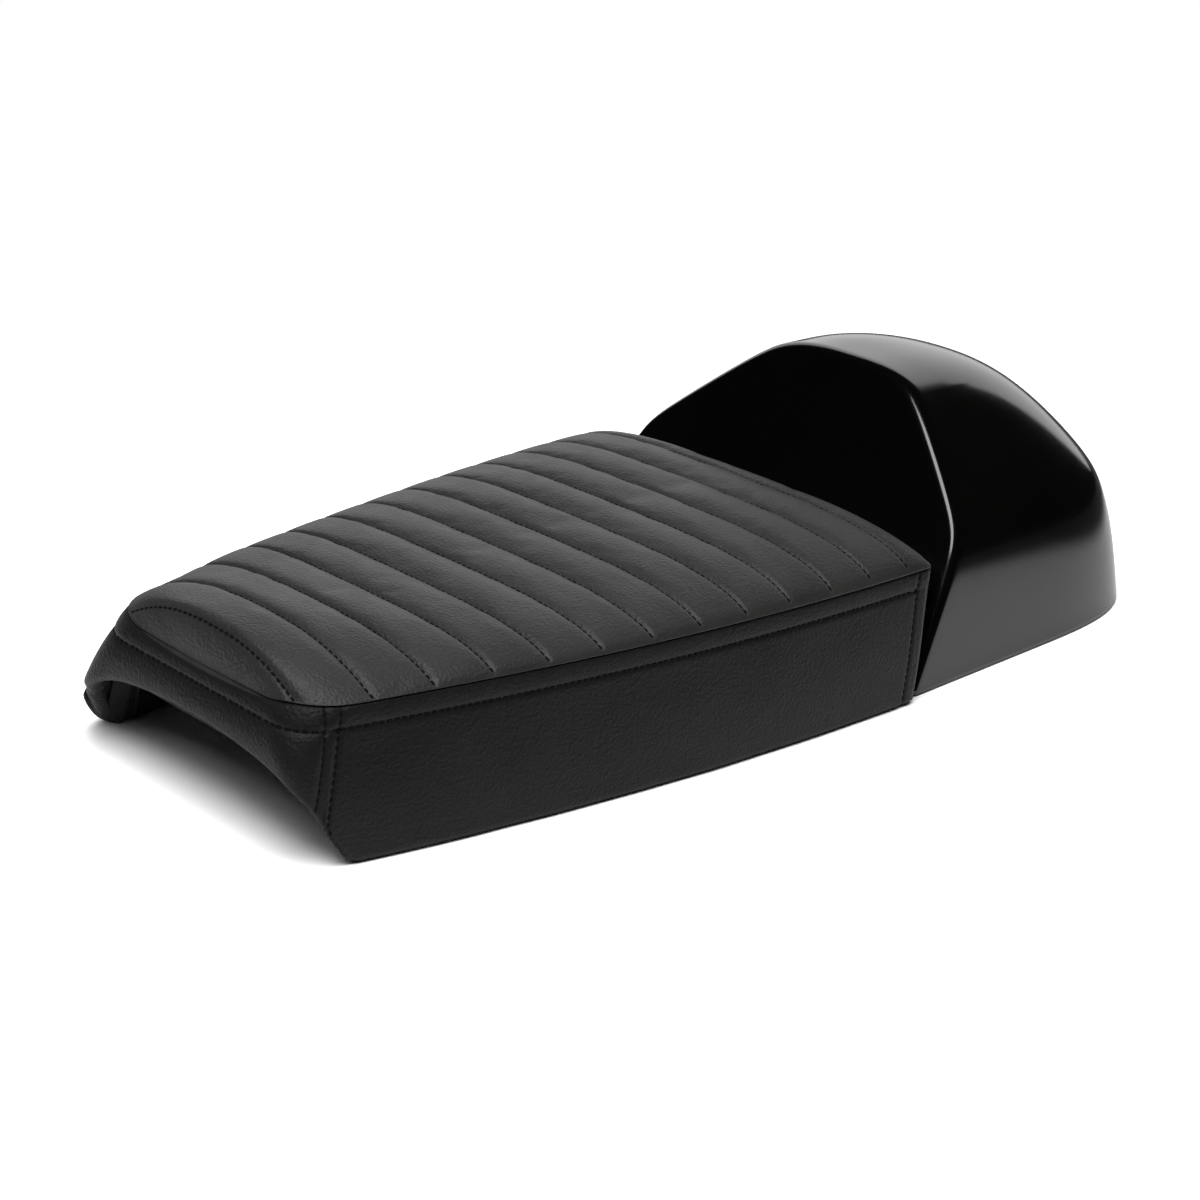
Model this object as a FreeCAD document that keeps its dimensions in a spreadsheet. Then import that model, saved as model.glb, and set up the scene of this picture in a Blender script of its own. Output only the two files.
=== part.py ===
import FreeCAD, Part
import math
import os
import Sketcher

# A cafe racer seat: a pleated saddle pad on a hollow moulded pan, with a gloss tail cowl behind it.
# Lengths are millimetres and angles degrees. Stations along the seat are measured from its front lip,
# +X points to the tail, -Y to the rider's left, +Z up, and the finished part is centred on its length.

doc = FreeCAD.newDocument("cafe_racer_seat")
dims = doc.addObject("Spreadsheet::Sheet", "dims")

SIZES = [
    # The pleated top of the pad
    ("pleat_pitch", 28),
    ("pleat_lines", 13),
    ("first_line", 11),
    ("last_pleat", 21),
    ("crown_front", 17),
    ("crown_dip", 12.5),
    ("crown_rear", 18),
    ("dip_station", 109),
    ("pleat_bulge", 2.2),
    ("front_roll", 6),
    ("rear_roll", 24),
    ("roll_edge", 0.4),
    ("quilt_thickness", 6),
    ("quilt_margin", 6),
    # The pad's outline at the seam, and how its walls stand
    ("seam_front", 7),
    ("seam_half_width", 119.7),
    ("side_radius", 1532),
    ("widest_behind_rear", 36.5),
    ("corner_radius", 31),
    ("lip_corner_radius", 12),
    ("floor_corner_radius", 12),
    ("side_flare", 8.8),
    ("floor_side_radius", 1750),
    ("leg_setback", 18),
    ("seam_height_front", 67),
    ("seam_height_rear", 68.5),
    ("pad_rake", 10.1),
    ("corner_seam", 18),
    # The layers of the pad, from the outside in
    ("cover_skin", 1.4),
    ("fit_gap", 0.3),
    ("side_padding", 2.5),
    ("pan_wall", 3),
    ("hem_height", 22),
    # The opening under the pad
    ("arch_height", 40.5),
    ("arch_half_width", 81),
    ("arch_flat_half_width", 58),
    ("arch_radius", 18),
    ("arch_depth", 28.5),
    ("rear_opening_half_width", 96),
    # The pan's tail tray, which carries the cowl
    ("tray_half_width", 102),
    ("tray_end_margin", 28),
    ("tray_corner_radius", 90),
    ("tray_lap", 30),
    ("tray_depth", 15),
    # The tail cowl
    ("cowl_gap", 1.5),
    ("cowl_length", 248),
    ("cowl_rake", 28.4),
    ("cowl_height", 138.5),
    ("cowl_half_width", 123.2),
    ("shoulder_half_width", 112.9),
    ("shoulder_height", 76),
    ("crease_half_width", 54.6),
    ("crease_height", 128),
    ("crease_softness", 10),
    ("dome_start", 97.8),
    ("dome_end_power", 2.39),
    ("dome_top_power", 2.43),
    ("plan_power_floor", 3.9),
    ("plan_power_top", 2.15),
    ("cowl_wall", 3.5),
    ("cowl_edge_radius", 4),
    # The cowl's fixings
    ("boss_radius", 10),
    ("boss_front", 58),
    ("boss_spacing", 90),
    ("boss_half_spread", 62),
    ("insert_radius", 4.5),
    ("insert_length", 14),
    ("bolt_radius", 3),
    ("bolt_length", 16),
    ("bolt_head_radius", 5.8),
    ("bolt_head_height", 4),
    ("washer_radius", 9),
    ("washer_thickness", 1.6),
    ("hole_clearance", 0.4),
    # The seat's own mounting
    ("stud_radius", 3),
    ("stud_neck_radius", 4.4),
    ("stud_length", 28),
    ("stud_middle", 190),
    ("stud_spacing_x", 200),
    ("stud_spacing_y", 116),
    ("stud_plate_width", 30),
    ("stud_plate_margin", 20),
    ("stud_plate_thickness", 2),
    ("buffer_radius", 14),
    ("buffer_height", 10),
    ("buffer_neck_radius", 4),
    ("buffer_knob_radius", 6.5),
    ("buffer_knob_height", 4),
    ("buffer_spacing_x", 110),
]

for row, (alias, number) in enumerate(SIZES, start=1):
    dims.set(f"A{row}", alias)
    dims.set(f"B{row}", str(number))
    dims.setAlias(f"B{row}", alias)
doc.recompute()

# Stations and heights that several pieces share, as expressions on the sheet
PAD_TAN = "tan(dims.pad_rake * 1 deg)"
LAST_LINE = "(dims.first_line + (dims.pleat_lines - 1) * dims.pleat_pitch)"
REAR_SEAM = f"({LAST_LINE} + dims.last_pleat)"
WIDEST = f"({REAR_SEAM} + dims.widest_behind_rear)"
PAD_REAR_FLOOR = f"({REAR_SEAM} - dims.seam_height_rear * {PAD_TAN})"
COWL_FRONT = f"({PAD_REAR_FLOOR} + dims.cowl_gap)"
OVERALL = f"({COWL_FRONT} + dims.cowl_length)"
MIDDLE = f"({OVERALL} / 2)"
SEAM_SLOPE = f"((dims.seam_height_front - dims.seam_height_rear) / ({REAR_SEAM} - dims.seam_front))"
SEAM_LEVEL = f"(dims.seam_height_front + dims.seam_front * {SEAM_SLOPE})"
DECK_UNDER = "(dims.arch_height + dims.cover_skin + dims.fit_gap)"
DECK_TOP = f"({DECK_UNDER} + dims.pan_wall)"
FOAM_BOTTOM = f"({DECK_TOP} + dims.fit_gap)"
PAN_BOTTOM = "(dims.cover_skin + dims.fit_gap)"

# How far each layer of the pad's wall lies inside the outer face of the cover
COVER_IN = "dims.cover_skin"
PADDING_OUT = f"({COVER_IN} + dims.fit_gap)"
PADDING_IN = f"({PADDING_OUT} + dims.side_padding)"
PAN_OUT = f"({PADDING_IN} + dims.fit_gap)"
PAN_IN = f"({PAN_OUT} + dims.pan_wall)"
HEM_OUT = f"({PAN_IN} + dims.fit_gap)"
HEM_IN = f"({HEM_OUT} + dims.cover_skin)"

# Boxes that only limit a height or a side reach this far past the part
REACH = 400

# Points closer than this are taken to touch
TOUCHING = 0.01

# How finely the cowl is described: its level outlines, the points round half of each, and how near
# the uppermost outline comes to the top
COWL_LEVELS = 25
HALF_OUTLINE_POINTS = 8
HIGHEST_LEVEL = 0.999

# Where the sections of the front leaf and of the rear roll stand, as shares of their depth
FRONT_LEAF_SHARES = (0, 0.2, 0.55)
REAR_ROLL_SHARES = (0.5, 0.85, 1)


def size(expression):
    """Today's value of an expression on the sheet."""
    return float(dims.evalExpression(str(expression)))


def bind(item, **expressions):
    """Binds an object's properties to the sheet."""
    for name, expression in expressions.items():
        item.setExpression(name, str(expression))


def put(item, x="0", y="0", z="0"):
    """Places an object at a station, an offset to the side and a height."""
    item.setExpression("Placement.Base.x", f"{x} - {MIDDLE}")
    item.setExpression("Placement.Base.y", y)
    item.setExpression("Placement.Base.z", z)


def box(name, x, y, z, length, width, height):
    """A box from its low corner and its three sizes."""
    item = doc.addObject("Part::Box", name)
    bind(item, Length=length, Width=width, Height=height)
    put(item, x, y, z)
    return item


def cylinder(name, radius, height, x, y, z):
    item = doc.addObject("Part::Cylinder", name)
    bind(item, Radius=radius, Height=height)
    put(item, x, y, z)
    return item


def cut(name, base, tool):
    item = doc.addObject("Part::Cut", name)
    item.Base = base
    item.Tool = tool
    return item


def common(name, base, tool):
    item = doc.addObject("Part::Common", name)
    item.Base = base
    item.Tool = tool
    return item


def fuse(name, pieces):
    item = doc.addObject("Part::MultiFuse", name)
    item.Shapes = pieces
    item.Refine = True
    return item


def group(name, pieces):
    """Separate solids that make one node."""
    item = doc.addObject("Part::Compound", name)
    item.Links = pieces
    return item


def new_body(name):
    body = doc.addObject("PartDesign::Body", name)
    put(body)
    return body


def sketch_on(body, role, name, offset="0"):
    """A sketch on one of the body's origin planes, moved along the plane's normal."""
    sketch = body.newObject("Sketcher::SketchObject", name)
    plane = [item for item in body.Origin.OriginFeatures if item.Role == role][0]
    sketch.AttachmentSupport = [(plane, "")]
    sketch.MapMode = "FlatFace"
    sketch.setExpression("AttachmentOffset.Base.z", offset)
    return sketch


def measure(sketch, name, kind, where, expression):
    """Adds a named dimension to a sketch and binds it to the sheet."""
    index = sketch.addConstraint(Sketcher.Constraint(kind, *where, size(expression)))
    sketch.renameConstraint(index, name)
    sketch.setExpression(f"Constraints.{name}", expression)


def tie(sketch, kind, *where):
    sketch.addConstraint(Sketcher.Constraint(kind, *where))


def arc(centre_x, centre_y, radius, start, end):
    """An arc from a start point to an end point, anticlockwise about its centre."""
    circle = Part.Circle(FreeCAD.Vector(centre_x, centre_y, 0), FreeCAD.Vector(0, 0, 1), radius)
    first = math.atan2(start[1] - centre_y, start[0] - centre_x)
    last = math.atan2(end[1] - centre_y, end[0] - centre_x)
    if last < first:
        last += 2 * math.pi
    return Part.ArcOfCircle(circle, first, last)


def line(start, end):
    return Part.LineSegment(FreeCAD.Vector(*start, 0), FreeCAD.Vector(*end, 0))


def below(name, height):
    """Everything under a height, as a tool."""
    return box(name, f"-{REACH}", f"-{REACH}", f"-{REACH}", 3 * REACH, 2 * REACH, f"{REACH} + {height}")


def side_half(name, sign):
    """Everything on one side of the seat, as a tool."""
    near_y = "0" if sign > 0 else f"-{REACH}"
    return box(name, f"-{REACH}", near_y, f"-{REACH}", 3 * REACH, REACH, 2 * REACH)


def ring(name, outer, inner, height, x, y, z):
    rim = cylinder(f"{name}_outer", outer, height, x, y, z)
    bore = cylinder(f"{name}_bore", inner, height, x, y, z)
    return cut(name, rim, bore)


def draw_outline(sketch, front, corner, radius, half_width, rear):
    """The pad's outline: a straight front, round corners, bowed sides and a straight rear."""
    front_x = size(front)
    corner_r = size(corner)
    side_r = size(radius)
    widest = size(WIDEST)
    rear_x = size(rear)
    side_y = size(half_width) - side_r
    corner_x = front_x + corner_r
    corner_y = side_y + math.sqrt((side_r - corner_r) ** 2 - (corner_x - widest) ** 2)
    reach = side_r / (side_r - corner_r)
    touch = (widest + (corner_x - widest) * reach, side_y + (corner_y - side_y) * reach)
    rear_y = side_y + math.sqrt(side_r ** 2 - (rear_x - widest) ** 2)
    sketch.addGeometry(arc(widest, side_y, side_r, (rear_x, rear_y), touch))
    sketch.addGeometry(arc(corner_x, corner_y, corner_r, touch, (front_x, corner_y)))
    sketch.addGeometry(line((front_x, corner_y), (front_x, -corner_y)))
    sketch.addGeometry(arc(corner_x, -corner_y, corner_r, (front_x, -corner_y), (touch[0], -touch[1])))
    sketch.addGeometry(arc(widest, -side_y, side_r, (touch[0], -touch[1]), (rear_x, -rear_y)))
    sketch.addGeometry(line((rear_x, -rear_y), (rear_x, rear_y)))
    for edge in range(4):
        tie(sketch, "Tangent", edge, 2, edge + 1, 1)
    tie(sketch, "Coincident", 4, 2, 5, 1)
    tie(sketch, "Coincident", 5, 2, 0, 1)
    tie(sketch, "Symmetric", 2, 1, 2, 2, -1)
    tie(sketch, "Symmetric", 5, 1, 5, 2, -1)
    tie(sketch, "Equal", 0, 4)
    tie(sketch, "Equal", 1, 3)
    measure(sketch, "front", "DistanceX", (2, 1), front)
    measure(sketch, "rear", "DistanceX", (5, 1), rear)
    measure(sketch, "corner", "Radius", (1,), corner)
    measure(sketch, "bow", "Radius", (0,), radius)
    measure(sketch, "widest", "DistanceX", (0, 3), WIDEST)
    measure(sketch, "half_width", "DistanceY", (0, 3), f"{half_width} - {radius}")


def envelope(name, inset):
    """The pad's walls from floor to seam, brought in all round by an inset."""
    body = new_body(name)
    lip_share = "(1 - dims.arch_height / dims.seam_height_front)"
    lip_flare = f"(dims.side_flare * {lip_share})"
    lip_bow = f"(dims.side_radius + (dims.floor_side_radius - dims.side_radius) * {lip_share})"
    rear_lip = f"({REAR_SEAM} - (dims.seam_height_rear - dims.arch_height) * {PAD_TAN})"
    levels = [
        ("floor", "0", "dims.leg_setback", "dims.floor_corner_radius", PAD_REAR_FLOOR),
        ("lip", "dims.arch_height", "0", "dims.lip_corner_radius", rear_lip),
        ("seam", SEAM_LEVEL, "dims.seam_front", "dims.corner_radius", REAR_SEAM),
    ]
    flares = {"floor": "dims.side_flare", "lip": lip_flare, "seam": "0"}
    bows = {"floor": "dims.floor_side_radius", "lip": lip_bow, "seam": "dims.side_radius"}
    outlines = []
    for level, height, front, corner, rear in levels:
        sketch = sketch_on(body, "XY_Plane", f"{name}_{level}", height)
        draw_outline(
            sketch,
            front=f"({front} + {inset})",
            corner=f"({corner} - {inset})",
            radius=f"({bows[level]} - {inset})",
            half_width=f"(dims.seam_half_width + {flares[level]} - {inset})",
            rear=f"({rear} - {inset})",
        )
        outlines.append(sketch)
    tilt_to_seam(outlines[-1], "AttachmentOffset")
    loft = body.newObject("PartDesign::AdditiveLoft", f"{name}_walls")
    loft.Profile = outlines[0]
    loft.Sections = outlines[1:]
    return body


def tilt_to_seam(item, placement):
    """Turns a sketch or a body to the plane of the top seam, which rises a little to the rear."""
    item.setExpression(f"{placement}.Rotation", f"rotation(vector(0; 1; 0); atan({SEAM_SLOPE}))")


def seam_half_width(x):
    """Half the width of the top at a station, on the bowed side."""
    drop = f"sqrt(pow(dims.side_radius; 2) - pow({x} - {WIDEST}; 2))"
    return f"(dims.seam_half_width - dims.side_radius + {drop})"


def corner_half_width(x):
    """Half the width of the top at a station, on the round front corner."""
    corner_x = "(dims.seam_front + dims.corner_radius)"
    inner = "(dims.side_radius - dims.corner_radius)"
    corner_y = f"sqrt(pow({inner}; 2) - pow({corner_x} - {WIDEST}; 2))"
    side = f"sqrt(pow(dims.corner_radius; 2) - pow({corner_x} - {x}; 2))"
    return f"(dims.seam_half_width - dims.side_radius + {corner_y} + {side})"


def top_half_width(x):
    """Half the width of the top at a station, on whichever curve bounds it there."""
    corner_x = size("dims.seam_front + dims.corner_radius")
    side_r = size("dims.side_radius")
    widest = size(WIDEST)
    corner_end = widest + (corner_x - widest) * side_r / (side_r - size("dims.corner_radius"))
    return corner_half_width(x) if size(x) < corner_end else seam_half_width(x)


def crown(x):
    """Height of the top's middle above the seam: lowest where the rider sits, higher at both ends."""
    ahead = f"max(0; dims.dip_station - {x}) / (dims.dip_station - dims.first_line)"
    behind = f"max(0; {x} - dims.dip_station) / ({LAST_LINE} - dims.dip_station)"
    front = f"(dims.crown_front - dims.crown_dip) * pow({ahead}; 2)"
    rear = f"(dims.crown_rear - dims.crown_dip) * {behind}"
    return f"(dims.crown_dip + {front} + {rear})"


def rise(x):
    """The crown, rolled off at the front and at the rear."""
    front = f"max(0; dims.seam_front + dims.front_roll - {x}) / dims.front_roll"
    rear = f"max(0; {x} - {REAR_SEAM} + dims.rear_roll) / dims.rear_roll"
    return f"({crown(x)} * sqrt(1 - pow({front}; 2)) * sqrt(1 - pow({rear}; 2)))"


def crown_section(body, name, x, half_width, height):
    """Half an ellipse standing on the seam: steep at the edges and flat over the middle."""
    sketch = sketch_on(body, "YZ_Plane", name, x)
    across = size(half_width)
    oval = Part.Ellipse(FreeCAD.Vector(), across, size(height))
    sketch.addGeometry(Part.ArcOfEllipse(oval, 0, math.pi))
    sketch.exposeInternalGeometry(0)
    base = sketch.addGeometry(line((-across, 0), (across, 0)))
    tie(sketch, "Coincident", 0, 3, -1, 1)
    tie(sketch, "Horizontal", 1)
    tie(sketch, "Coincident", base, 1, 0, 2)
    tie(sketch, "Coincident", base, 2, 0, 1)
    tie(sketch, "PointOnObject", 0, 1, -1)
    tie(sketch, "PointOnObject", 0, 2, -1)
    measure(sketch, "across", "Distance", (1,), f"2 * {half_width}")
    measure(sketch, "height", "Distance", (2,), f"2 * {height}")
    return sketch


def crown_loft(body, kind, name, sections):
    loft = body.newObject(f"PartDesign::{kind}", name)
    loft.Profile = sections[0]
    loft.Sections = sections[1:]
    return loft


def crown_body(name):
    body = doc.addObject("PartDesign::Body", name)
    tilt_to_seam(body, "Placement")
    put(body, z=SEAM_LEVEL)
    return body


def line_station(number):
    """Station of a stitch line, counted from 0."""
    return f"(dims.first_line + {number} * dims.pleat_pitch)"


def foam_crown(body, kind, name, clearance):
    """The smooth crown of the foam, under the quilted top."""
    count = int(size("dims.pleat_lines"))
    ends = {0: "dims.quilt_margin", count - 1: "-dims.quilt_margin"}
    sections = []
    for number in (0, count // 4, count // 2, 3 * count // 4, count - 1):
        x = f"({line_station(number)} + {ends.get(number, 0)})"
        half_width = f"({top_half_width(x)} - dims.quilt_margin + {clearance})"
        height = f"({crown(x)} - dims.quilt_thickness + {clearance})"
        sections.append(crown_section(body, f"{name}_{number}", x, half_width, height))
    return crown_loft(body, kind, name, sections)


def top_panel():
    """The quilted top: one loft for each pleat, pinched at the stitch lines and proud between them."""
    body = crown_body("cover_top_panel")
    count = int(size("dims.pleat_lines"))
    seams = []
    for number in range(count):
        x = line_station(number)
        seams.append(crown_section(body, f"stitch_line_{number + 1}", x, top_half_width(x), rise(x)))
    leaf = []
    for number, share in enumerate(FRONT_LEAF_SHARES):
        depth = "(dims.first_line - dims.seam_front - dims.roll_edge)"
        x = f"(dims.seam_front + dims.roll_edge + {share} * {depth})"
        leaf.append(crown_section(body, f"front_leaf_{number}", x, top_half_width(x), rise(x)))
    crown_loft(body, "AdditiveLoft", "front_leaf", leaf + seams[:1])
    for number in range(count - 1):
        x = line_station(number + 0.5)
        height = f"({rise(x)} + dims.pleat_bulge)"
        swell = crown_section(body, f"swell_{number + 1}", x, top_half_width(x), height)
        crown_loft(body, "AdditiveLoft", f"pleat_{number + 1}", [seams[number], swell, seams[number + 1]])
    tail = []
    for number, share in enumerate(REAR_ROLL_SHARES):
        x = f"({LAST_LINE} + {share} * (dims.last_pleat - dims.roll_edge))"
        tail.append(crown_section(body, f"rear_roll_{number}", x, top_half_width(x), rise(x)))
    crown_loft(body, "AdditiveLoft", "rear_roll", seams[-1:] + tail)
    foam_crown(body, "SubtractiveLoft", "foam_hollow", "dims.fit_gap")
    return body


def arch(name, grow, depth):
    """The opening at the front of the underside, flat on top and widest at the floor, as a tool."""
    body = new_body(name)
    sketch = sketch_on(body, "YZ_Plane", f"{name}_outline", "-dims.arch_depth")
    half = f"(dims.arch_half_width + {grow})"
    top = f"(dims.arch_height + {grow})"
    radius = f"(dims.arch_radius + {grow})"
    half_now = size(half)
    top_now = size(top)
    radius_now = size(radius)
    inner = size("dims.arch_flat_half_width")
    spring = top_now - radius_now
    foot = -size("dims.cover_skin")
    away = math.hypot(half_now - inner, foot - spring)
    turn = math.atan2(foot - spring, half_now - inner) + math.acos(radius_now / away)
    touch = (inner + radius_now * math.cos(turn), spring + radius_now * math.sin(turn))
    sketch.addGeometry(line((half_now, foot), touch))
    sketch.addGeometry(arc(inner, spring, radius_now, touch, (inner, top_now)))
    sketch.addGeometry(line((inner, top_now), (-inner, top_now)))
    sketch.addGeometry(arc(-inner, spring, radius_now, (-inner, top_now), (-touch[0], touch[1])))
    sketch.addGeometry(line((-touch[0], touch[1]), (-half_now, foot)))
    sketch.addGeometry(line((-half_now, foot), (half_now, foot)))
    for edge in range(4):
        tie(sketch, "Tangent", edge, 2, edge + 1, 1)
    tie(sketch, "Coincident", 4, 2, 5, 1)
    tie(sketch, "Coincident", 5, 2, 0, 1)
    tie(sketch, "Symmetric", 5, 1, 5, 2, -2)
    tie(sketch, "Symmetric", 2, 1, 2, 2, -2)
    measure(sketch, "half_width", "DistanceX", (0, 1), half)
    measure(sketch, "foot", "DistanceY", (0, 1), "-dims.cover_skin")
    measure(sketch, "top", "DistanceY", (2, 1), top)
    measure(sketch, "corner", "Radius", (1,), radius)
    measure(sketch, "flat", "DistanceX", (1, 3), "dims.arch_flat_half_width")
    tie(sketch, "Equal", 1, 3)
    pad = body.newObject("PartDesign::Pad", f"{name}_run")
    pad.Profile = sketch
    bind(pad, Length=f"dims.arch_depth + {depth}")
    return body


def tail_tray():
    """The pan's tail: an upside-down tray with a turned-down rim, rounded like the cowl above it."""
    body = new_body("tail_tray")
    front = f"({PAD_REAR_FLOOR} - dims.tray_lap)"
    rear = f"({OVERALL} - dims.tray_end_margin)"
    outer = sketch_on(body, "XY_Plane", "tray_outline", DECK_TOP)
    draw_tray(outer, front, rear, "dims.tray_half_width", "dims.tray_corner_radius")
    pad = body.newObject("PartDesign::Pad", "tray_block")
    pad.Profile = outer
    pad.Reversed = True
    bind(pad, Length="dims.tray_depth")
    inner = sketch_on(body, "XY_Plane", "tray_hollow", DECK_UNDER)
    draw_tray(
        inner,
        f"({front} - dims.pan_wall)",
        f"({rear} - dims.pan_wall)",
        "(dims.tray_half_width - dims.pan_wall)",
        "(dims.tray_corner_radius - dims.pan_wall)",
    )
    pocket = body.newObject("PartDesign::Pocket", "tray_inside")
    pocket.Profile = inner
    bind(pocket, Length="dims.tray_depth")
    return body


def draw_tray(sketch, front, rear, half_width, corner):
    """A straight front, straight sides and two round corners at the tail."""
    front_x = size(front)
    rear_x = size(rear)
    half = size(half_width)
    radius = size(corner)
    turn_x = rear_x - radius
    turn_y = half - radius
    sketch.addGeometry(line((front_x, -half), (turn_x, -half)))
    sketch.addGeometry(arc(turn_x, -turn_y, radius, (turn_x, -half), (rear_x, -turn_y)))
    sketch.addGeometry(line((rear_x, -turn_y), (rear_x, turn_y)))
    sketch.addGeometry(arc(turn_x, turn_y, radius, (rear_x, turn_y), (turn_x, half)))
    sketch.addGeometry(line((turn_x, half), (front_x, half)))
    sketch.addGeometry(line((front_x, half), (front_x, -half)))
    for edge in range(4):
        tie(sketch, "Tangent", edge, 2, edge + 1, 1)
    tie(sketch, "Coincident", 4, 2, 5, 1)
    tie(sketch, "Coincident", 5, 2, 0, 1)
    tie(sketch, "Symmetric", 5, 1, 5, 2, -1)
    tie(sketch, "Symmetric", 2, 1, 2, 2, -1)
    tie(sketch, "Equal", 1, 3)
    tie(sketch, "Horizontal", 0)
    measure(sketch, "front", "DistanceX", (5, 1), front)
    measure(sketch, "rear", "DistanceX", (2, 1), rear)
    measure(sketch, "half_width", "DistanceY", (4, 1), half_width)
    measure(sketch, "corner", "Radius", (1,), corner)


def raked_slab(name):
    """A slab as thick as the cover, lying along the pad's leaning rear face."""
    slab = doc.addObject("Part::Box", name)
    bind(slab, Length=REACH, Width=REACH, Height=REACH)
    slab.Placement = FreeCAD.Placement(FreeCAD.Vector(), FreeCAD.Rotation(FreeCAD.Vector(0, 1, 0), 1))
    slab.setExpression("Placement.Rotation.Angle", "dims.pad_rake * 1 deg")
    put(slab, f"{PAD_REAR_FLOOR} - dims.cover_skin", f"{-REACH / 2}")
    return slab


def fixing_points():
    """Stations and offsets of the studs, the buffers and the cowl's bosses."""
    signs = [(fore, side) for fore in (-1, 1) for side in (-1, 1)]
    studs = []
    buffers = []
    bosses = []
    for fore, side in signs:
        side_y = f"({side} * dims.stud_spacing_y / 2)"
        studs.append((f"(dims.stud_middle + {fore} * dims.stud_spacing_x / 2)", side_y))
        buffers.append((f"(dims.stud_middle + {fore} * dims.buffer_spacing_x / 2)", side_y))
        boss_x = f"({COWL_FRONT} + dims.boss_front + {(fore + 1) / 2} * dims.boss_spacing)"
        bosses.append((boss_x, f"({side} * dims.boss_half_spread)"))
    return studs, buffers, bosses


def soft_least(first, second, softness):
    """The smaller of two widths, rounded where they cross."""
    return (first + second - math.hypot(first - second, softness)) / 2


def bell_half_width(height, top):
    """Half the cowl's width at a height: upright wall, sloping flank, rounded crown."""
    base = size("dims.cowl_half_width")
    shoulder = size("dims.shoulder_half_width")
    shoulder_z = size("dims.shoulder_height")
    crease = size("dims.crease_half_width")
    crease_z = size("dims.crease_height")
    softness = size("dims.crease_softness")
    wall = base + (shoulder - base) * height / shoulder_z
    flank = shoulder + (crease - shoulder) * (height - shoulder_z) / (crease_z - shoulder_z)
    above = max(0, height - crease_z) / (top - crease_z)
    crown = crease * math.sqrt(max(0, 1 - above ** 2))
    bell = soft_least(wall, flank, softness)
    if height > crease_z:
        bell = min(bell, crown)
    return bell


def dome(inset):
    """The cowl's outer form, or its hollow: level outlines lofted upwards, each round at the tail."""
    front_x = size(PAD_REAR_FLOOR)
    start_x = size(COWL_FRONT) + size("dims.dome_start")
    run = size(OVERALL) - start_x - inset
    top = size("dims.cowl_height") - inset
    end_power = size("dims.dome_end_power")
    top_power = size("dims.dome_top_power")
    floor_power = size("dims.plan_power_floor")
    crown_power = size("dims.plan_power_top")
    # The same parameters on every level keep the loft smooth
    even_steps = [step / (2 * HALF_OUTLINE_POINTS) for step in range(2 * HALF_OUTLINE_POINTS + 1)]
    levels = []
    for level in range(COWL_LEVELS):
        share = HIGHEST_LEVEL * math.sin(math.pi / 2 * level / (COWL_LEVELS - 1))
        z = top * share
        half = bell_half_width(z * (top + inset) / top, top + inset) - inset
        length = run * (1 - share ** top_power) ** (1 / end_power)
        power = floor_power + (crown_power - floor_power) * share
        points = []
        for step in range(-HALF_OUTLINE_POINTS, HALF_OUTLINE_POINTS + 1):
            turn = math.pi / 2 * step / HALF_OUTLINE_POINTS
            spread = (math.cos(turn) ** power + abs(math.sin(turn)) ** power) ** (1 / power)
            along = start_x + length * math.cos(turn) / spread
            points.append(FreeCAD.Vector(along, half * math.sin(turn) / spread, z))
        tail = Part.BSplineCurve()
        ahead = FreeCAD.Vector(1, 0, 0)
        tail.interpolate(Points=points, Parameters=even_steps, InitialTangent=ahead, FinalTangent=-ahead)
        left = FreeCAD.Vector(front_x, -half, z)
        right = FreeCAD.Vector(front_x, half, z)
        edges = [
            Part.makeLine(left, points[0]),
            tail.toShape(),
            Part.makeLine(points[-1], right),
            Part.makeLine(right, left),
        ]
        levels.append(Part.Wire(edges))
    return Part.makeLoft(levels, True, False)


def in_front_of_cowl(inset):
    """Everything before the cowl's leaning front wall, as a prism across the seat."""
    lean = math.tan(math.radians(size("dims.cowl_rake")))
    foot_x = size(COWL_FRONT) + inset / math.cos(math.radians(size("dims.cowl_rake")))
    corners = [
        (-REACH, -REACH),
        (foot_x - REACH * lean, -REACH),
        (foot_x + REACH * lean, REACH),
        (-REACH, REACH),
    ]
    points = [FreeCAD.Vector(x, -REACH, z) for x, z in corners]
    face = Part.Face(Part.makePolygon(points + points[:1]))
    return face.extrude(FreeCAD.Vector(0, 2 * REACH, 0))


def tail_cowl(bosses):
    """The moulded cowl: a thin dome with a closed front wall, and bosses that stand on the tail tray."""
    wall = size("dims.cowl_wall")
    outer = dome(0).cut(in_front_of_cowl(0))
    rim = [edge for edge in outer.Edges if on_front_rim(edge)]
    outer = outer.makeFillet(size("dims.cowl_edge_radius"), rim)
    hollow = dome(wall).cut(in_front_of_cowl(wall))
    shell = outer.cut(hollow)
    tray_top = size(DECK_TOP)
    tray_half = size("dims.tray_half_width") + wall
    doorway_corner = FreeCAD.Vector(size(PAD_REAR_FLOOR), -tray_half, 0)
    doorway = Part.makeBox(REACH, 2 * tray_half, tray_top + wall, doorway_corner)
    front_wall = doorway.common(dome(wall)).cut(hollow)
    shell = shell.cut(front_wall)
    for x, y in bosses:
        foot = FreeCAD.Vector(size(x), size(y), tray_top)
        post = Part.makeCylinder(size("dims.boss_radius"), REACH, foot)
        shell = shell.fuse(post.common(outer))
    for x, y in bosses:
        foot = FreeCAD.Vector(size(x), size(y), tray_top)
        shell = shell.cut(Part.makeCylinder(size("dims.insert_radius"), size("dims.insert_length"), foot))
    cowl = doc.addObject("Part::Feature", "tail_cowl")
    cowl.Shape = shell.removeSplitter()
    put(cowl)
    return cowl


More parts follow.
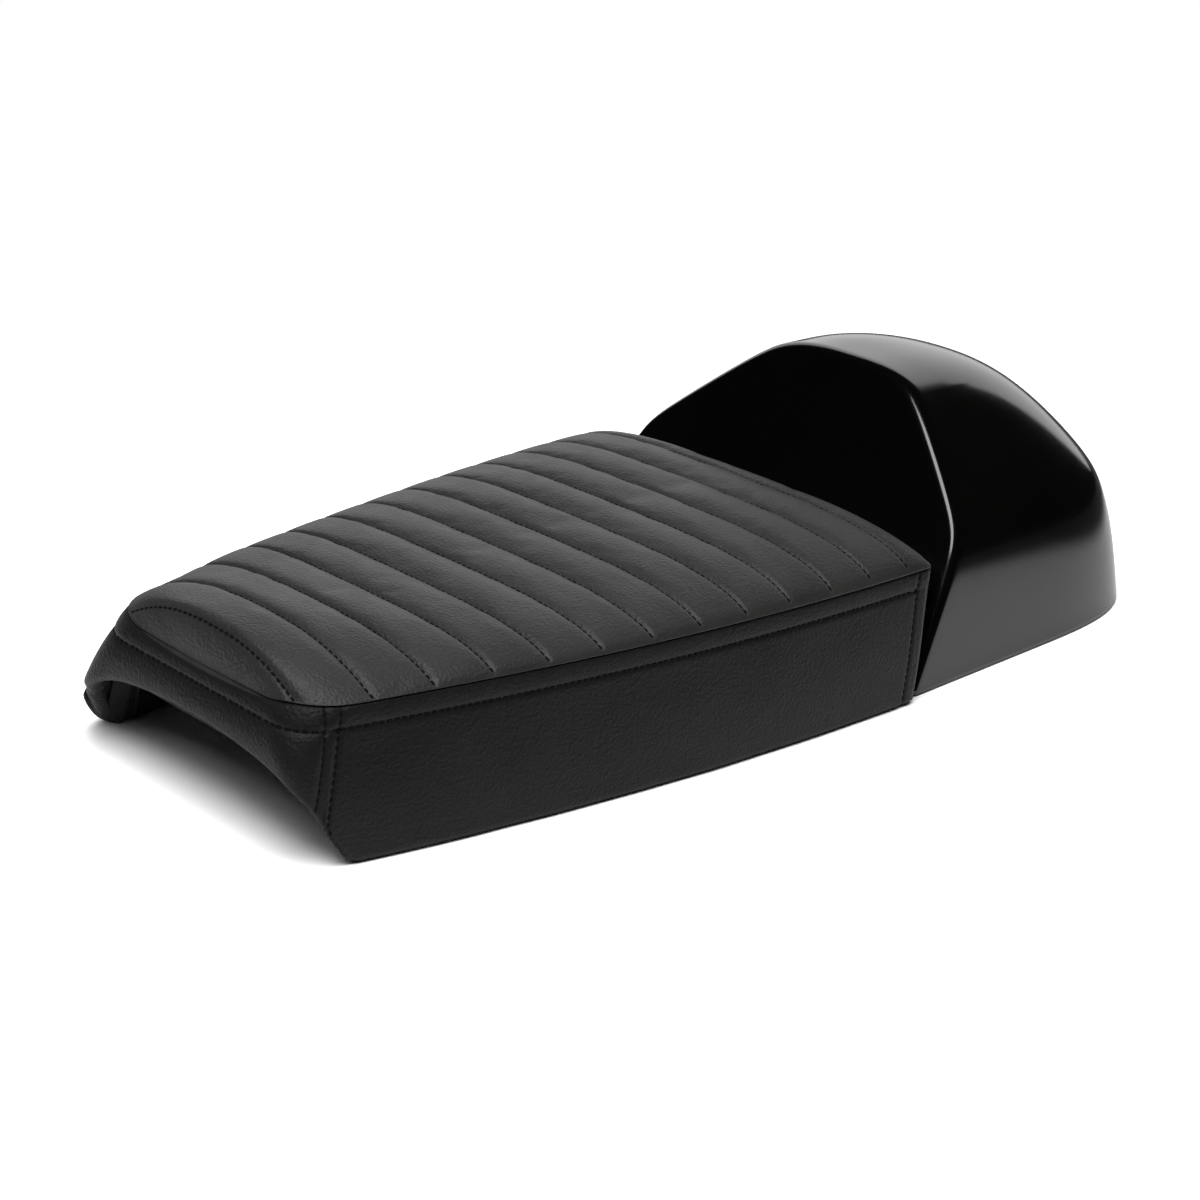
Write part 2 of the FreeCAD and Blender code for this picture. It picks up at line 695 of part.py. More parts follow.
def on_front_rim(edge):
    """True for the edges round the cowl's front wall, the one on the floor left out."""
    lean = math.tan(math.radians(size("dims.cowl_rake")))
    foot_x = size(COWL_FRONT)
    points = edge.discretize(5)
    on_wall = all(abs(point.x - foot_x - point.z * lean) < TOUCHING for point in points)
    return on_wall and max(point.z for point in points) > TOUCHING


# The walls of the pad, layer by layer
outer_walls = envelope("outer_walls", "0")
cover_inside = envelope("cover_inside", COVER_IN)
padding_outside = envelope("padding_outside", PADDING_OUT)
padding_inside = envelope("padding_inside", PADDING_IN)
pan_outside = envelope("pan_outside", PAN_OUT)
pan_inside = envelope("pan_inside", PAN_IN)
hem_outside = envelope("hem_outside", HEM_OUT)
hem_inside = envelope("hem_inside", HEM_IN)

# The openings at both ends of the underside
arch_opening = arch("arch_opening", "0", "dims.arch_depth")
arch_lining = arch("arch_lining", COVER_IN, "dims.arch_depth")
arch_reach = arch("arch_reach", COVER_IN, f"dims.arch_depth + {COVER_IN}")
arch_clear = arch("arch_clear", PADDING_OUT, f"dims.arch_depth + {PADDING_OUT}")
tray_clear_half = "(dims.tray_half_width + dims.fit_gap)"
cover_doorway = box(
    "cover_doorway", f"{PAD_REAR_FLOOR} - dims.tray_lap", f"-{tray_clear_half}", f"-{REACH}",
    REACH, f"2 * {tray_clear_half}", f"{FOAM_BOTTOM} + {REACH}",
)
pan_doorway = box(
    "pan_doorway", f"{PAD_REAR_FLOOR} - dims.tray_lap", "-dims.rear_opening_half_width", f"-{REACH}",
    REACH, "2 * dims.rear_opening_half_width", f"{DECK_UNDER} + {REACH}",
)

# The sewn cover: outer skin, the turn under the pan's edge, the hem bonded inside, the lining of the
# arch, and the caps that close the wall's layers at the front of both legs
skin = cut("skin", outer_walls, cover_inside)
hem = common("hem", cut("hem_ring", hem_outside, hem_inside), below("below_hem", "dims.hem_height"))
turn = common("turn", cut("turn_ring", outer_walls, hem_inside), below("below_turn", "dims.cover_skin"))
lining = common("lining", cut("lining_run", arch_lining, arch_opening), outer_walls)
wall_layers = cut("wall_layers", outer_walls, hem_inside)
leg_caps = common("leg_caps", wall_layers, cut("leg_cap_run", arch_reach, arch_lining))
whole_cover = fuse("whole_cover", [skin, hem, turn, lining, leg_caps])
open_cover = cut("open_cover", cut("arched_cover", whole_cover, arch_opening), cover_doorway)
front_zone = box(
    "front_zone", f"-{REACH}", f"-{REACH}", f"-{REACH}",
    f"{REACH} + dims.corner_seam", 2 * REACH, 2 * REACH,
)
rear_zone = raked_slab("rear_zone")
cover_front_panel = common("cover_front_panel", open_cover, front_zone)
cover_rear_panel = common("cover_rear_panel", open_cover, rear_zone)
cover_sides = cut("cover_sides", cut("cover_behind_front", open_cover, front_zone), rear_zone)
cover_side_panel_left = common("cover_side_panel_left", cover_sides, side_half("left_half", -1))
cover_side_panel_right = common("cover_side_panel_right", cover_sides, side_half("right_half", 1))
cover_top_panel = top_panel()

# The padding on the pan's walls, one sheet for each side
padding_ring = cut("padding_ring", padding_outside, padding_inside)
padding_low = common("padding_low", padding_ring, below("below_deck", DECK_TOP))
padding_raised = cut("padding_raised", padding_low, below("below_padding", PAN_BOTTOM))
padding = cut("padding", cut("padding_arched", padding_raised, arch_clear), cover_doorway)
side_padding_left = common("side_padding_left", padding, side_half("left_padding_half", -1))
side_padding_right = common("side_padding_right", padding, side_half("right_padding_half", 1))

# The base pan: tub under the pad, tray under the cowl, and the holes for what is fixed through it
stud_points, buffer_points, boss_points = fixing_points()
pan_block = common("pan_block", pan_outside, below("below_deck_top", DECK_TOP))
pan_hollow = common("pan_hollow", pan_inside, below("below_deck_under", DECK_UNDER))
pan_tub = cut("pan_tub", cut("pan_shell", pan_block, pan_hollow), below("below_pan", PAN_BOTTOM))
pan_arched = cut("pan_arched", cut("pan_open", pan_tub, arch_clear), pan_doorway)
pan_whole = fuse("pan_whole", [pan_arched, tail_tray()])
pan_holes = []
for number, (x, y) in enumerate(stud_points):
    stud_hole = "dims.stud_neck_radius + dims.hole_clearance"
    pan_holes.append(cylinder(f"stud_hole_{number}", stud_hole, REACH, x, y, "0"))
for number, (x, y) in enumerate(buffer_points):
    pan_holes.append(cylinder(f"buffer_hole_{number}", "dims.buffer_neck_radius", REACH, x, y, "0"))
for number, (x, y) in enumerate(boss_points):
    bolt_hole = "dims.bolt_radius + dims.hole_clearance"
    pan_holes.append(cylinder(f"bolt_hole_{number}", bolt_hole, REACH, x, y, "0"))
base_pan = cut("base_pan", pan_whole, group("pan_holes", pan_holes))

# The seat foam, with room underneath for the stud plates and the buffers' knobs
foam_block = cut("foam_block", padding_outside, below("below_foam", FOAM_BOTTOM))
foam_top = crown_body("foam_top")
foam_crown(foam_top, "AdditiveLoft", "foam_swell", "0")
plate_length = "(dims.stud_spacing_y + 2 * dims.stud_plate_margin)"
stud_plate_pieces = []
foam_recesses = []
for number, fore in enumerate((-1, 1)):
    x = f"(dims.stud_middle + {fore} * dims.stud_spacing_x / 2 - dims.stud_plate_width / 2)"
    y = f"(-{plate_length} / 2)"
    stud_plate_pieces.append(
        box(
            f"stud_plate_{number}", x, y, DECK_TOP,
            "dims.stud_plate_width", plate_length, "dims.stud_plate_thickness",
        )
    )
    foam_recesses.append(
        box(
            f"plate_recess_{number}", f"{x} - dims.fit_gap", f"{y} - dims.fit_gap", DECK_TOP,
            "dims.stud_plate_width + 2 * dims.fit_gap", f"{plate_length} + 2 * dims.fit_gap",
            "dims.stud_plate_thickness + dims.fit_gap",
        )
    )
for number, (x, y) in enumerate(buffer_points):
    foam_recesses.append(
        cylinder(
            f"knob_recess_{number}", "dims.buffer_knob_radius + dims.fit_gap",
            "dims.buffer_knob_height + dims.fit_gap", x, y, DECK_TOP,
        )
    )
foam_whole = fuse("foam_whole", [foam_block, foam_top])
seat_foam = cut("seat_foam", foam_whole, group("foam_recesses", foam_recesses))

def mounting_stud(number, x, y):
    """A threaded shank below the deck, and the thicker neck that passes through it."""
    shank_z = f"{DECK_UNDER} - dims.stud_length"
    shank = cylinder(f"stud_shank_{number}", "dims.stud_radius", "dims.stud_length", x, y, shank_z)
    neck = cylinder(f"stud_neck_{number}", "dims.stud_neck_radius", "dims.pan_wall", x, y, DECK_UNDER)
    return fuse(f"stud_{number}", [shank, neck])


def rubber_buffer(number, x, y):
    """A round foot below the deck, a neck through it and a knob that holds it from above."""
    foot_z = f"{DECK_UNDER} - dims.buffer_height"
    foot = cylinder(f"buffer_foot_{number}", "dims.buffer_radius", "dims.buffer_height", x, y, foot_z)
    neck = cylinder(f"buffer_neck_{number}", "dims.buffer_neck_radius", "dims.pan_wall", x, y, DECK_UNDER)
    knob_height = "dims.buffer_knob_height"
    knob = cylinder(f"buffer_knob_{number}", "dims.buffer_knob_radius", knob_height, x, y, DECK_TOP)
    return fuse(f"buffer_{number}", [foot, neck, knob])


# The mounting studs, welded under their plates, and the rubber buffers
stud_plates = group("stud_plates", stud_plate_pieces)
mounting_studs = group("mounting_studs", [mounting_stud(n, x, y) for n, (x, y) in enumerate(stud_points)])
rubber_buffers = group("rubber_buffers", [rubber_buffer(n, x, y) for n, (x, y) in enumerate(buffer_points)])


def hex_bolt(number, x, y):
    """A hexagon head against the washer and a shank up into the insert."""
    head = doc.addObject("Part::Prism", f"bolt_head_{number}")
    bind(head, Circumradius="dims.bolt_head_radius", Height="dims.bolt_head_height")
    under = f"({DECK_UNDER} - dims.washer_thickness)"
    put(head, x, y, f"{under} - dims.bolt_head_height")
    shank = cylinder(f"bolt_shank_{number}", "dims.bolt_radius", "dims.bolt_length", x, y, under)
    return fuse(f"bolt_{number}", [head, shank])


# The cowl and what holds it: bolts from below, through the tray into threaded inserts in the bosses
cowl = tail_cowl(boss_points)
cowl_bolts = group("cowl_bolts", [hex_bolt(n, x, y) for n, (x, y) in enumerate(boss_points)])
washer_bore = "dims.bolt_radius + dims.hole_clearance"
cowl_bolt_washers = group("cowl_bolt_washers", [
    ring(f"washer_{n}", "dims.washer_radius", washer_bore, "dims.washer_thickness", x, y,
         f"{DECK_UNDER} - dims.washer_thickness")
    for n, (x, y) in enumerate(boss_points)
])
cowl_inserts = group("cowl_inserts", [
    ring(f"insert_{n}", "dims.insert_radius", "dims.bolt_radius", "dims.insert_length", x, y, DECK_TOP)
    for n, (x, y) in enumerate(boss_points)
])

NODES = [
    base_pan, seat_foam, side_padding_left, side_padding_right,
    cover_top_panel, cover_front_panel, cover_side_panel_left, cover_side_panel_right, cover_rear_panel,
    cowl, cowl_inserts, cowl_bolts, cowl_bolt_washers,
    stud_plates, mounting_studs, rubber_buffers,
]

doc.recompute()
for item in doc.Objects:
    if "Invalid" in item.State or "Error" in item.State:
        raise RuntimeError(f"{item.Label} did not build: {item.State}")
for item in NODES:
    if item.Shape.isNull() or not item.Shape.isValid() or not item.Shape.Solids:
        raise RuntimeError(f"{item.Label} has no valid solid")

os.makedirs("parts", exist_ok=True)
for item in NODES:
    item.Shape.exportStep(f"parts/{item.Label}.step")
    print(f"{item.Label}: {len(item.Shape.Solids)} solids, {item.Shape.Volume / 1000:.1f} cm3")
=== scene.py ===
# %% [markdown]
# A cafe racer seat, dressed for its portrait.
# The frame below is the finished engineering model: a moulded pan, foam, a sewn cover and a tail cowl.
# It is loaded first and never moved. Every new piece is modelled around it, in metres, in the same place.

# %% Load the frame
import math
from collections import namedtuple
from functools import lru_cache

import bmesh
import bpy
from mathutils import Matrix, Vector, noise


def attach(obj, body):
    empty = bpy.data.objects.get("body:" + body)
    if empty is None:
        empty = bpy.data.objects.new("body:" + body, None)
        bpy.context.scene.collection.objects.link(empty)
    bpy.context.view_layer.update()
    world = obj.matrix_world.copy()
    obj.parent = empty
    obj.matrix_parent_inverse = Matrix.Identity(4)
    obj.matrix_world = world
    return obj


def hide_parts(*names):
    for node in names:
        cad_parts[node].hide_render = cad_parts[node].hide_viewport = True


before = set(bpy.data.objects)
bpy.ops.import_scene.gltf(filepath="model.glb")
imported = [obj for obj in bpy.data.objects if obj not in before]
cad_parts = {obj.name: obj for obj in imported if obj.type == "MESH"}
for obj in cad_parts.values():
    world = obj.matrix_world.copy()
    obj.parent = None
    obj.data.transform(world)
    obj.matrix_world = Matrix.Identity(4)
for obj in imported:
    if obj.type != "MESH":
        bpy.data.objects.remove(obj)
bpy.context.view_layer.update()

MM = 0.001
FRAME_MIDDLE = 302.65

# %% [markdown]
# A photograph is matched from its camera. A long lens stands at the rider's front left, looks down at the
# seat and is rolled a little. Stations along the seat are measured from its front lip, as an upholsterer
# would measure them with a tape, and turned into the frame's metres by one small function.

# %% Camera
LENS_MM = 68.8
SENSOR_MM = 36
CAMERA_STATION = -536.9
CAMERA_SIDE = -717.9
CAMERA_HEIGHT = 464.3
LOOK_DOWN_DEG = 21.83
LOOK_ACROSS_DEG = 42.25
ROLL_DEG = 5.06


def spot(station, side, height):
    """A point from its station, its offset to the side and its height, all in millimetres."""
    return Vector(((station - FRAME_MIDDLE) * MM, side * MM, height * MM))


def make_camera():
    down = math.radians(LOOK_DOWN_DEG)
    across = math.radians(LOOK_ACROSS_DEG)
    roll = math.radians(ROLL_DEG)
    ahead = Vector((math.cos(down) * math.cos(across), math.cos(down) * math.sin(across), -math.sin(down)))
    right = ahead.cross(Vector((0, 0, 1))).normalized()
    up = right.cross(ahead)
    rolled_right = right * math.cos(roll) + up * math.sin(roll)
    rolled_up = up * math.cos(roll) - right * math.sin(roll)
    turn = Matrix((rolled_right, rolled_up, -ahead)).transposed().to_4x4()
    data = bpy.data.cameras.new("portrait_camera")
    data.lens = LENS_MM
    data.sensor_width = SENSOR_MM
    camera = bpy.data.objects.new("portrait_camera", data)
    camera.matrix_world = Matrix.Translation(spot(CAMERA_STATION, CAMERA_SIDE, CAMERA_HEIGHT)) @ turn
    bpy.context.scene.collection.objects.link(camera)
    bpy.context.scene.camera = camera
    return camera


camera = make_camera()
print("camera at", [round(c, 3) for c in camera.matrix_world.translation])

# %% [markdown]
# Every finish is a small node tree. Each one mixes two close colours with noise and lets another noise
# change its roughness, because no real surface is one flat colour. The patterns read Object coordinates,
# so they stay put whichever piece wears them. A helper keeps the wiring short.

# %% Finish helpers
RAMP_ENDS = (0.3, 0.7)


def new_finish(name):
    """A material with its node tree, its shader and a source of object coordinates."""
    made = bpy.data.materials.new(name)
    made.use_nodes = True
    tree = made.node_tree
    shader = tree.nodes["Principled BSDF"]
    place = tree.nodes.new("ShaderNodeTexCoord")
    return made, tree, shader, place.outputs["Object"]


def noise_field(tree, place, scale, detail=3.0, roughness=0.5):
    field = tree.nodes.new("ShaderNodeTexNoise")
    field.inputs["Scale"].default_value = scale
    field.inputs["Detail"].default_value = detail
    field.inputs["Roughness"].default_value = roughness
    tree.links.new(place, field.inputs["Vector"])
    return field.outputs["Fac"]


def cell_field(tree, place, scale):
    cells = tree.nodes.new("ShaderNodeTexVoronoi")
    cells.feature = "SMOOTH_F1"
    cells.inputs["Scale"].default_value = scale
    tree.links.new(place, cells.inputs["Vector"])
    return cells.outputs["Distance"]


def colour_between(tree, shader, field, dark, light):
    """Colours a shader from dark to light as a field rises."""
    ramp = tree.nodes.new("ShaderNodeValToRGB")
    for stop, position, colour in zip(ramp.color_ramp.elements, RAMP_ENDS, (dark, light)):
        stop.position = position
        stop.color = (*colour, 1)
    tree.links.new(field, ramp.inputs["Fac"])
    tree.links.new(ramp.outputs["Color"], shader.inputs["Base Color"])


def roughness_between(tree, shader, field, low, high):
    span = tree.nodes.new("ShaderNodeMapRange")
    span.inputs["To Min"].default_value = low
    span.inputs["To Max"].default_value = high
    tree.links.new(field, span.inputs["Value"])
    tree.links.new(span.outputs["Result"], shader.inputs["Roughness"])


def relief(tree, shader, field, depth, strength, under=None):
    """Adds a bump from a field, on top of an earlier bump if one is given."""
    bump = tree.nodes.new("ShaderNodeBump")
    bump.inputs["Distance"].default_value = depth
    bump.inputs["Strength"].default_value = strength
    tree.links.new(field, bump.inputs["Height"])
    if under is not None:
        tree.links.new(under, bump.inputs["Normal"])
    tree.links.new(bump.outputs["Normal"], shader.inputs["Normal"])
    return bump.outputs["Normal"]


# %% [markdown]
# The cover is black vinyl with a leather grain: pebbles about a millimetre across, with finer pores between
# them. A Voronoi pattern makes the pebbles, because its rounded cells look like skin, and a fine noise
# roughens them. The same vinyl is made in two copies: the top is painted lighter, as painted light, and the
# walls darker and less shiny, as painted shade.

# %% Vinyl
MOTTLE_SCALE = 28.0
MOTTLE_DETAIL = 5.0
RUB_SCALE = 90.0
VINYL_ROUGHNESS = (0.44, 0.56)
VINYL_SHEEN = 0.06
SHEEN_ROUGHNESS = 0.5
GRAIN_CELLS = 760.0
PEBBLE_DEPTH = 0.35
PEBBLE_STRENGTH = 0.85
PORE_SCALE = 2600.0
PORE_DEPTH = 0.12
PORE_STRENGTH = 0.5


def vinyl_finish(name, dark, light, shine):
    made, tree, shader, place = new_finish(name)
    colour_between(tree, shader, noise_field(tree, place, MOTTLE_SCALE, MOTTLE_DETAIL), dark, light)
    roughness_between(tree, shader, noise_field(tree, place, RUB_SCALE), *VINYL_ROUGHNESS)
    shader.inputs["Specular IOR Level"].default_value = shine
    shader.inputs["Sheen Weight"].default_value = VINYL_SHEEN
    shader.inputs["Sheen Roughness"].default_value = SHEEN_ROUGHNESS
    pebbles = relief(tree, shader, cell_field(tree, place, GRAIN_CELLS), PEBBLE_DEPTH * MM, PEBBLE_STRENGTH)
    relief(tree, shader, noise_field(tree, place, PORE_SCALE), PORE_DEPTH * MM, PORE_STRENGTH, pebbles)
    return made


# Painted shade and painted light: the walls' copy of the vinyl is darker and less shiny and the top's copy is
# lighter, for how the light falls on them.
shaded_wall_vinyl = vinyl_finish("shaded_wall_vinyl", dark=(0.0052, 0.0052, 0.005), light=(0.008, 0.008, 0.0076),
                          shine=0.24)
lit_top_vinyl = vinyl_finish("lit_top_vinyl", dark=(0.018, 0.018, 0.0175), light=(0.027, 0.027, 0.0262),
                         shine=0.5)
print("finishes:", shaded_wall_vinyl.name, lit_top_vinyl.name)

# %% [markdown]
# Thread is twisted black polyester, duller than the vinyl. Its colour is painted far darker than black
# thread, as painted shade of the grooves where the stitches sink, and a very fine noise stands for the twist.

# %% Thread
# Painted shade: both thread colours are far darker than black thread, for the shade in the stitch grooves.
THREAD_AND_SHADE_DARK = (0.0012, 0.0012, 0.0012)
THREAD_AND_SHADE_LIGHT = (0.004, 0.004, 0.004)
FIBRE_SCALE = 900.0
FUZZ_SCALE = 1500.0
THREAD_ROUGHNESS = (0.55, 0.75)
THREAD_SHINE = 0.15
TWIST_SCALE = 3000.0
TWIST_DEPTH = 0.1
TWIST_STRENGTH = 0.5


def thread_and_shade_finish():
    made, tree, shader, place = new_finish("black_thread_and_groove_shade")
    colour_between(tree, shader, noise_field(tree, place, FIBRE_SCALE), THREAD_AND_SHADE_DARK, THREAD_AND_SHADE_LIGHT)
    roughness_between(tree, shader, noise_field(tree, place, FUZZ_SCALE), *THREAD_ROUGHNESS)
    shader.inputs["Specular IOR Level"].default_value = THREAD_SHINE
    relief(tree, shader, noise_field(tree, place, TWIST_SCALE), TWIST_DEPTH * MM, TWIST_STRENGTH)
    return made


thread_and_groove_shade = thread_and_shade_finish()
print("finish:", thread_and_groove_shade.name)

# %% [markdown]
# The cowl is gloss moulding: almost black, with a soft gloss rather than a mirror. A broad, shallow bump
# bends its reflections the way moulded plastic does, and a finer noise varies how sharp they are.

# %% Gloss moulding
GLOSS_DARK = (0.0008, 0.0008, 0.0008)
GLOSS_LIGHT = (0.0016, 0.0015, 0.0013)
TINT_SCALE = 12.0
HAZE_SCALE = 60.0
HAZE_DETAIL = 6.0
GLOSS_ROUGHNESS = (0.11, 0.17)
GLOSS_SHINE = 0.72
FLOW_SCALE = 34.0
FLOW_DETAIL = 2.0
FLOW_DEPTH = 0.3
FLOW_STRENGTH = 0.12


def gloss_finish():
    made, tree, shader, place = new_finish("cowl_gloss")
    colour_between(tree, shader, noise_field(tree, place, TINT_SCALE), GLOSS_DARK, GLOSS_LIGHT)
    roughness_between(tree, shader, noise_field(tree, place, HAZE_SCALE, HAZE_DETAIL), *GLOSS_ROUGHNESS)
    shader.inputs["Specular IOR Level"].default_value = GLOSS_SHINE
    relief(tree, shader, noise_field(tree, place, FLOW_SCALE, FLOW_DETAIL), FLOW_DEPTH * MM, FLOW_STRENGTH)
    return made


gloss = gloss_finish()
print("finish:", gloss.name)

# %% [markdown]
# What is under the seat is seen from below and through the arch: a matt moulded pan with a fine spark
# texture, zinc-plated studs and bolts, brass inserts, rubber buffers, and charcoal open-cell foam inside.
# They differ only in colour, roughness and the size of their texture, so one function makes them all.

# %% Underside finishes
COLOUR_COARSER = 8
ROUGHNESS_COARSER = 3
PLAIN_STRENGTH = 0.4


def plain_finish(name, dark, light, rough, scale, depth, metallic=0.0):
    """A finish that varies a little in colour, roughness and relief."""
    made, tree, shader, place = new_finish(name)
    colour_between(tree, shader, noise_field(tree, place, scale / COLOUR_COARSER), dark, light)
    roughness_between(tree, shader, noise_field(tree, place, scale / ROUGHNESS_COARSER), *rough)
    shader.inputs["Metallic"].default_value = metallic
    relief(tree, shader, noise_field(tree, place, scale), depth * MM, PLAIN_STRENGTH)
    return made


pan_finish = plain_finish("pan_moulding", dark=(0.011, 0.011, 0.012), light=(0.018, 0.018, 0.019),
                          rough=(0.5, 0.66), scale=1400.0, depth=0.15)
zinc_finish = plain_finish("zinc_steel", dark=(0.52, 0.52, 0.5), light=(0.68, 0.68, 0.66),
                           rough=(0.24, 0.4), scale=700.0, depth=0.05, metallic=1.0)
brass_finish = plain_finish("insert_brass", dark=(0.62, 0.44, 0.18), light=(0.76, 0.57, 0.26),
                            rough=(0.26, 0.4), scale=700.0, depth=0.05, metallic=1.0)
rubber_finish = plain_finish("buffer_rubber", dark=(0.012, 0.012, 0.012), light=(0.022, 0.022, 0.022),
                             rough=(0.62, 0.8), scale=900.0, depth=0.1)
foam_finish = plain_finish("seat_foam", dark=(0.032, 0.032, 0.034), light=(0.05, 0.05, 0.052),
                           rough=(0.85, 0.95), scale=900.0, depth=0.5)

NODE_FINISHES = {
    "base_pan": pan_finish,
    "seat_foam": foam_finish,
    "side_padding_left": foam_finish,
    "side_padding_right": foam_finish,
    "tail_cowl": gloss,
    "cowl_inserts": brass_finish,
    "cowl_bolts": zinc_finish,
    "cowl_bolt_washers": zinc_finish,
    "stud_plates": zinc_finish,
    "mounting_studs": zinc_finish,
    "rubber_buffers": rubber_finish,
}


def dress(piece, finish):
    piece.data.materials.clear()
    piece.data.materials.append(finish)


for node, finish in NODE_FINISHES.items():
    dress(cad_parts[node], finish)
print("dressed", len(NODE_FINISHES), "nodes of the frame")

# %% [markdown]
# The pad's outline is straight at the front, round at the front corners, bowed along the sides and almost
# square at the rear. It is drawn at three heights, the floor, the lip of the arch and the top seam, and a
# curve through the three gives any height between.

# %% Pad outline
SEAM_FRONT_HEIGHT = 67.0
SEAM_REAR_HEIGHT = 68.5
SEAM_FRONT = 7.0
REAR_SEAM = 368.0
LIP_HEIGHT = 40.5
WIDEST_STATION = 404.5
SEAM_HALF_WIDTH = 119.7
SEAM_BOW = 1532.0
FLOOR_BOW = 1750.0
SIDE_FLARE = 8.8
LEG_SETBACK = 18.0
FRONT_CORNERS = (12.0, 12.0, 31.0)
REAR_LEAN = math.tan(math.radians(10.1))
FRONT_DIP = 3.6
FRONT_DIP_HALF = 58.0

Outline = namedtuple("Outline", "front corner corner_x corner_y corner_end bow bow_middle rear")


def seam_height(station):
    share = (station - SEAM_FRONT) / (REAR_SEAM - SEAM_FRONT)
    return SEAM_FRONT_HEIGHT + (SEAM_REAR_HEIGHT - SEAM_FRONT_HEIGHT) * share


def front_dip(offset):
    """How far the seam sinks in the middle of the front."""
    return FRONT_DIP * max(0.0, 1 - (offset / FRONT_DIP_HALF) ** 2)


def through_levels(values, height):
    """The curve through three values, at the floor, at the lip and at the seam."""
    low, middle, high = 0.0, LIP_HEIGHT, SEAM_FRONT_HEIGHT
    first = values[0] * (height - middle) * (height - high) / ((low - middle) * (low - high))
    second = values[1] * (height - low) * (height - high) / ((middle - low) * (middle - high))
    third = values[2] * (height - low) * (height - middle) / ((high - low) * (high - middle))
    return first + second + third


@lru_cache(None)
def outline_at(height):
    """The sizes of the pad's outline at a height."""
    share = 1 - height / SEAM_FRONT_HEIGHT
    front = through_levels((LEG_SETBACK, 0.0, SEAM_FRONT), height)
    corner = through_levels(FRONT_CORNERS, height)
    bow = SEAM_BOW + (FLOOR_BOW - SEAM_BOW) * share
    bow_middle = SEAM_HALF_WIDTH + SIDE_FLARE * share - bow
    corner_x = front + corner
    corner_y = bow_middle + math.sqrt((bow - corner) ** 2 - (corner_x - WIDEST_STATION) ** 2)
    corner_end = math.atan2(corner_y - bow_middle, WIDEST_STATION - corner_x)
    rear = REAR_SEAM - (SEAM_REAR_HEIGHT - height) * REAR_LEAN
    return Outline(front, corner, corner_x, corner_y, corner_end, bow, bow_middle, rear)


print("front of the pad at floor, lip and seam:",
      [round(outline_at(height).front, 1) for height in (0.0, LIP_HEIGHT, SEAM_FRONT_HEIGHT)])

# %% [markdown]
# A wall is easiest to draw with one number that says where round the pad a point is. Its whole part counts
# the stretches, front, side, rear corner and rear, and its fraction runs along one of them. One function
# then answers where the wall is, for any place and height, and which way it faces.

# %% Places round the wall
FRONT_RUN, SIDE_RUN, CORNER_RUN, REAR_RUN = range(4)
REAR_CORNER = 6.0
CORNER_SEAM_STATION = 18.4
CORNER_SEAM_LEAN = 0.256
SEAM_BEHIND_FRONT = 0.3


def wall_at_station(shape, station):
    """Station, offset and outward direction of the wall, at a station behind its front."""
    turn = math.acos(max(-1.0, min(1.0, (shape.corner_x - station) / shape.corner)))
    if turn < shape.corner_end:
        out = (-math.cos(turn), math.sin(turn))
        return shape.corner_x + shape.corner * out[0], shape.corner_y + shape.corner * out[1], out
    offset = shape.bow_middle + math.sqrt(shape.bow ** 2 - (station - WIDEST_STATION) ** 2)
    return station, offset, ((station - WIDEST_STATION) / shape.bow, (offset - shape.bow_middle) / shape.bow)


def front_wall(shape, seam, share):
    """The wall from the middle of the front, 0, round the front corner to the corner seam, 1."""
    turn = math.acos(max(-1.0, min(1.0, (shape.corner_x - seam) / shape.corner)))
    round_corner = shape.corner * min(turn, shape.corner_end)
    beyond = max(0.0, seam - shape.corner_x + shape.corner * math.cos(shape.corner_end))
    run = share * (shape.corner_y + round_corner + beyond)
    if run < shape.corner_y:
        return shape.front, run, (-1.0, 0.0)
    if run < shape.corner_y + round_corner:
        turn = (run - shape.corner_y) / shape.corner
        return wall_at_station(shape, shape.corner_x - shape.corner * math.cos(turn))
    return wall_at_station(shape, seam - beyond + run - shape.corner_y - round_corner)


@lru_cache(None)
def wall(place, height):
    """The wall at a place round the rider's right half of the pad.

    From 0 to 1 the place runs from the middle of the front to the corner seam, then along the side, then
    round the rear corner, and from 3 to 4 along the rear to the middle.
    """
    shape = outline_at(height)
    lean = (SEAM_FRONT_HEIGHT - height) * CORNER_SEAM_LEAN
    seam = max(shape.front + SEAM_BEHIND_FRONT, CORNER_SEAM_STATION - lean)
    side_end = shape.rear - REAR_CORNER
    stretch = min(int(place), REAR_RUN)
    share = place - stretch
    if stretch == FRONT_RUN:
        return front_wall(shape, seam, share)
    if stretch == SIDE_RUN:
        return wall_at_station(shape, seam + (side_end - seam) * share)
    end_offset = wall_at_station(shape, side_end)[1]
    if stretch == CORNER_RUN:
        turn = math.pi / 2 * share
        out = (math.sin(turn), math.cos(turn))
        return side_end + REAR_CORNER * out[0], end_offset - REAR_CORNER + REAR_CORNER * out[1], out
    return shape.rear, (end_offset - REAR_CORNER) * (1 - share), (1.0, 0.0)


print("corner seam from", [round(v, 1) for v in wall(1.0, SEAM_FRONT_HEIGHT)[:2]], "at the top seam to",
      [round(v, 1) for v in wall(1.0, LIP_HEIGHT)[:2]], "at the lip")

# %% [markdown]
# The walls stop at the floor, except at both ends. At the front they are cut by an arch that is flat on
# top, round at its shoulders and splayed towards the floor, and at the rear the pan's tray passes through.
# The lower edge is found column by column: the height at which the wall leaves the arch.

# %% Lower edge of the walls
ARCH_TOP = 42.5
ARCH_FOOT_HALF = 83.0
ARCH_SPLAY = 0.2
ARCH_SHOULDER_POWER = 5.6
ARCH_REACH = 1.1
TRAY_DOOR_HALF = 102.3
TRAY_DOOR_TOP = 45.5
EDGE_STEPS = 160
SHOWN_PLACES = (0.0, 0.3, 0.6, 0.8, 0.9, 1.0)


def arch_half(height):
    """Half the arch's width at a height."""
    return (ARCH_FOOT_HALF - ARCH_SPLAY * height) * math.sqrt(1 - (height / ARCH_TOP) ** ARCH_SHOULDER_POWER)


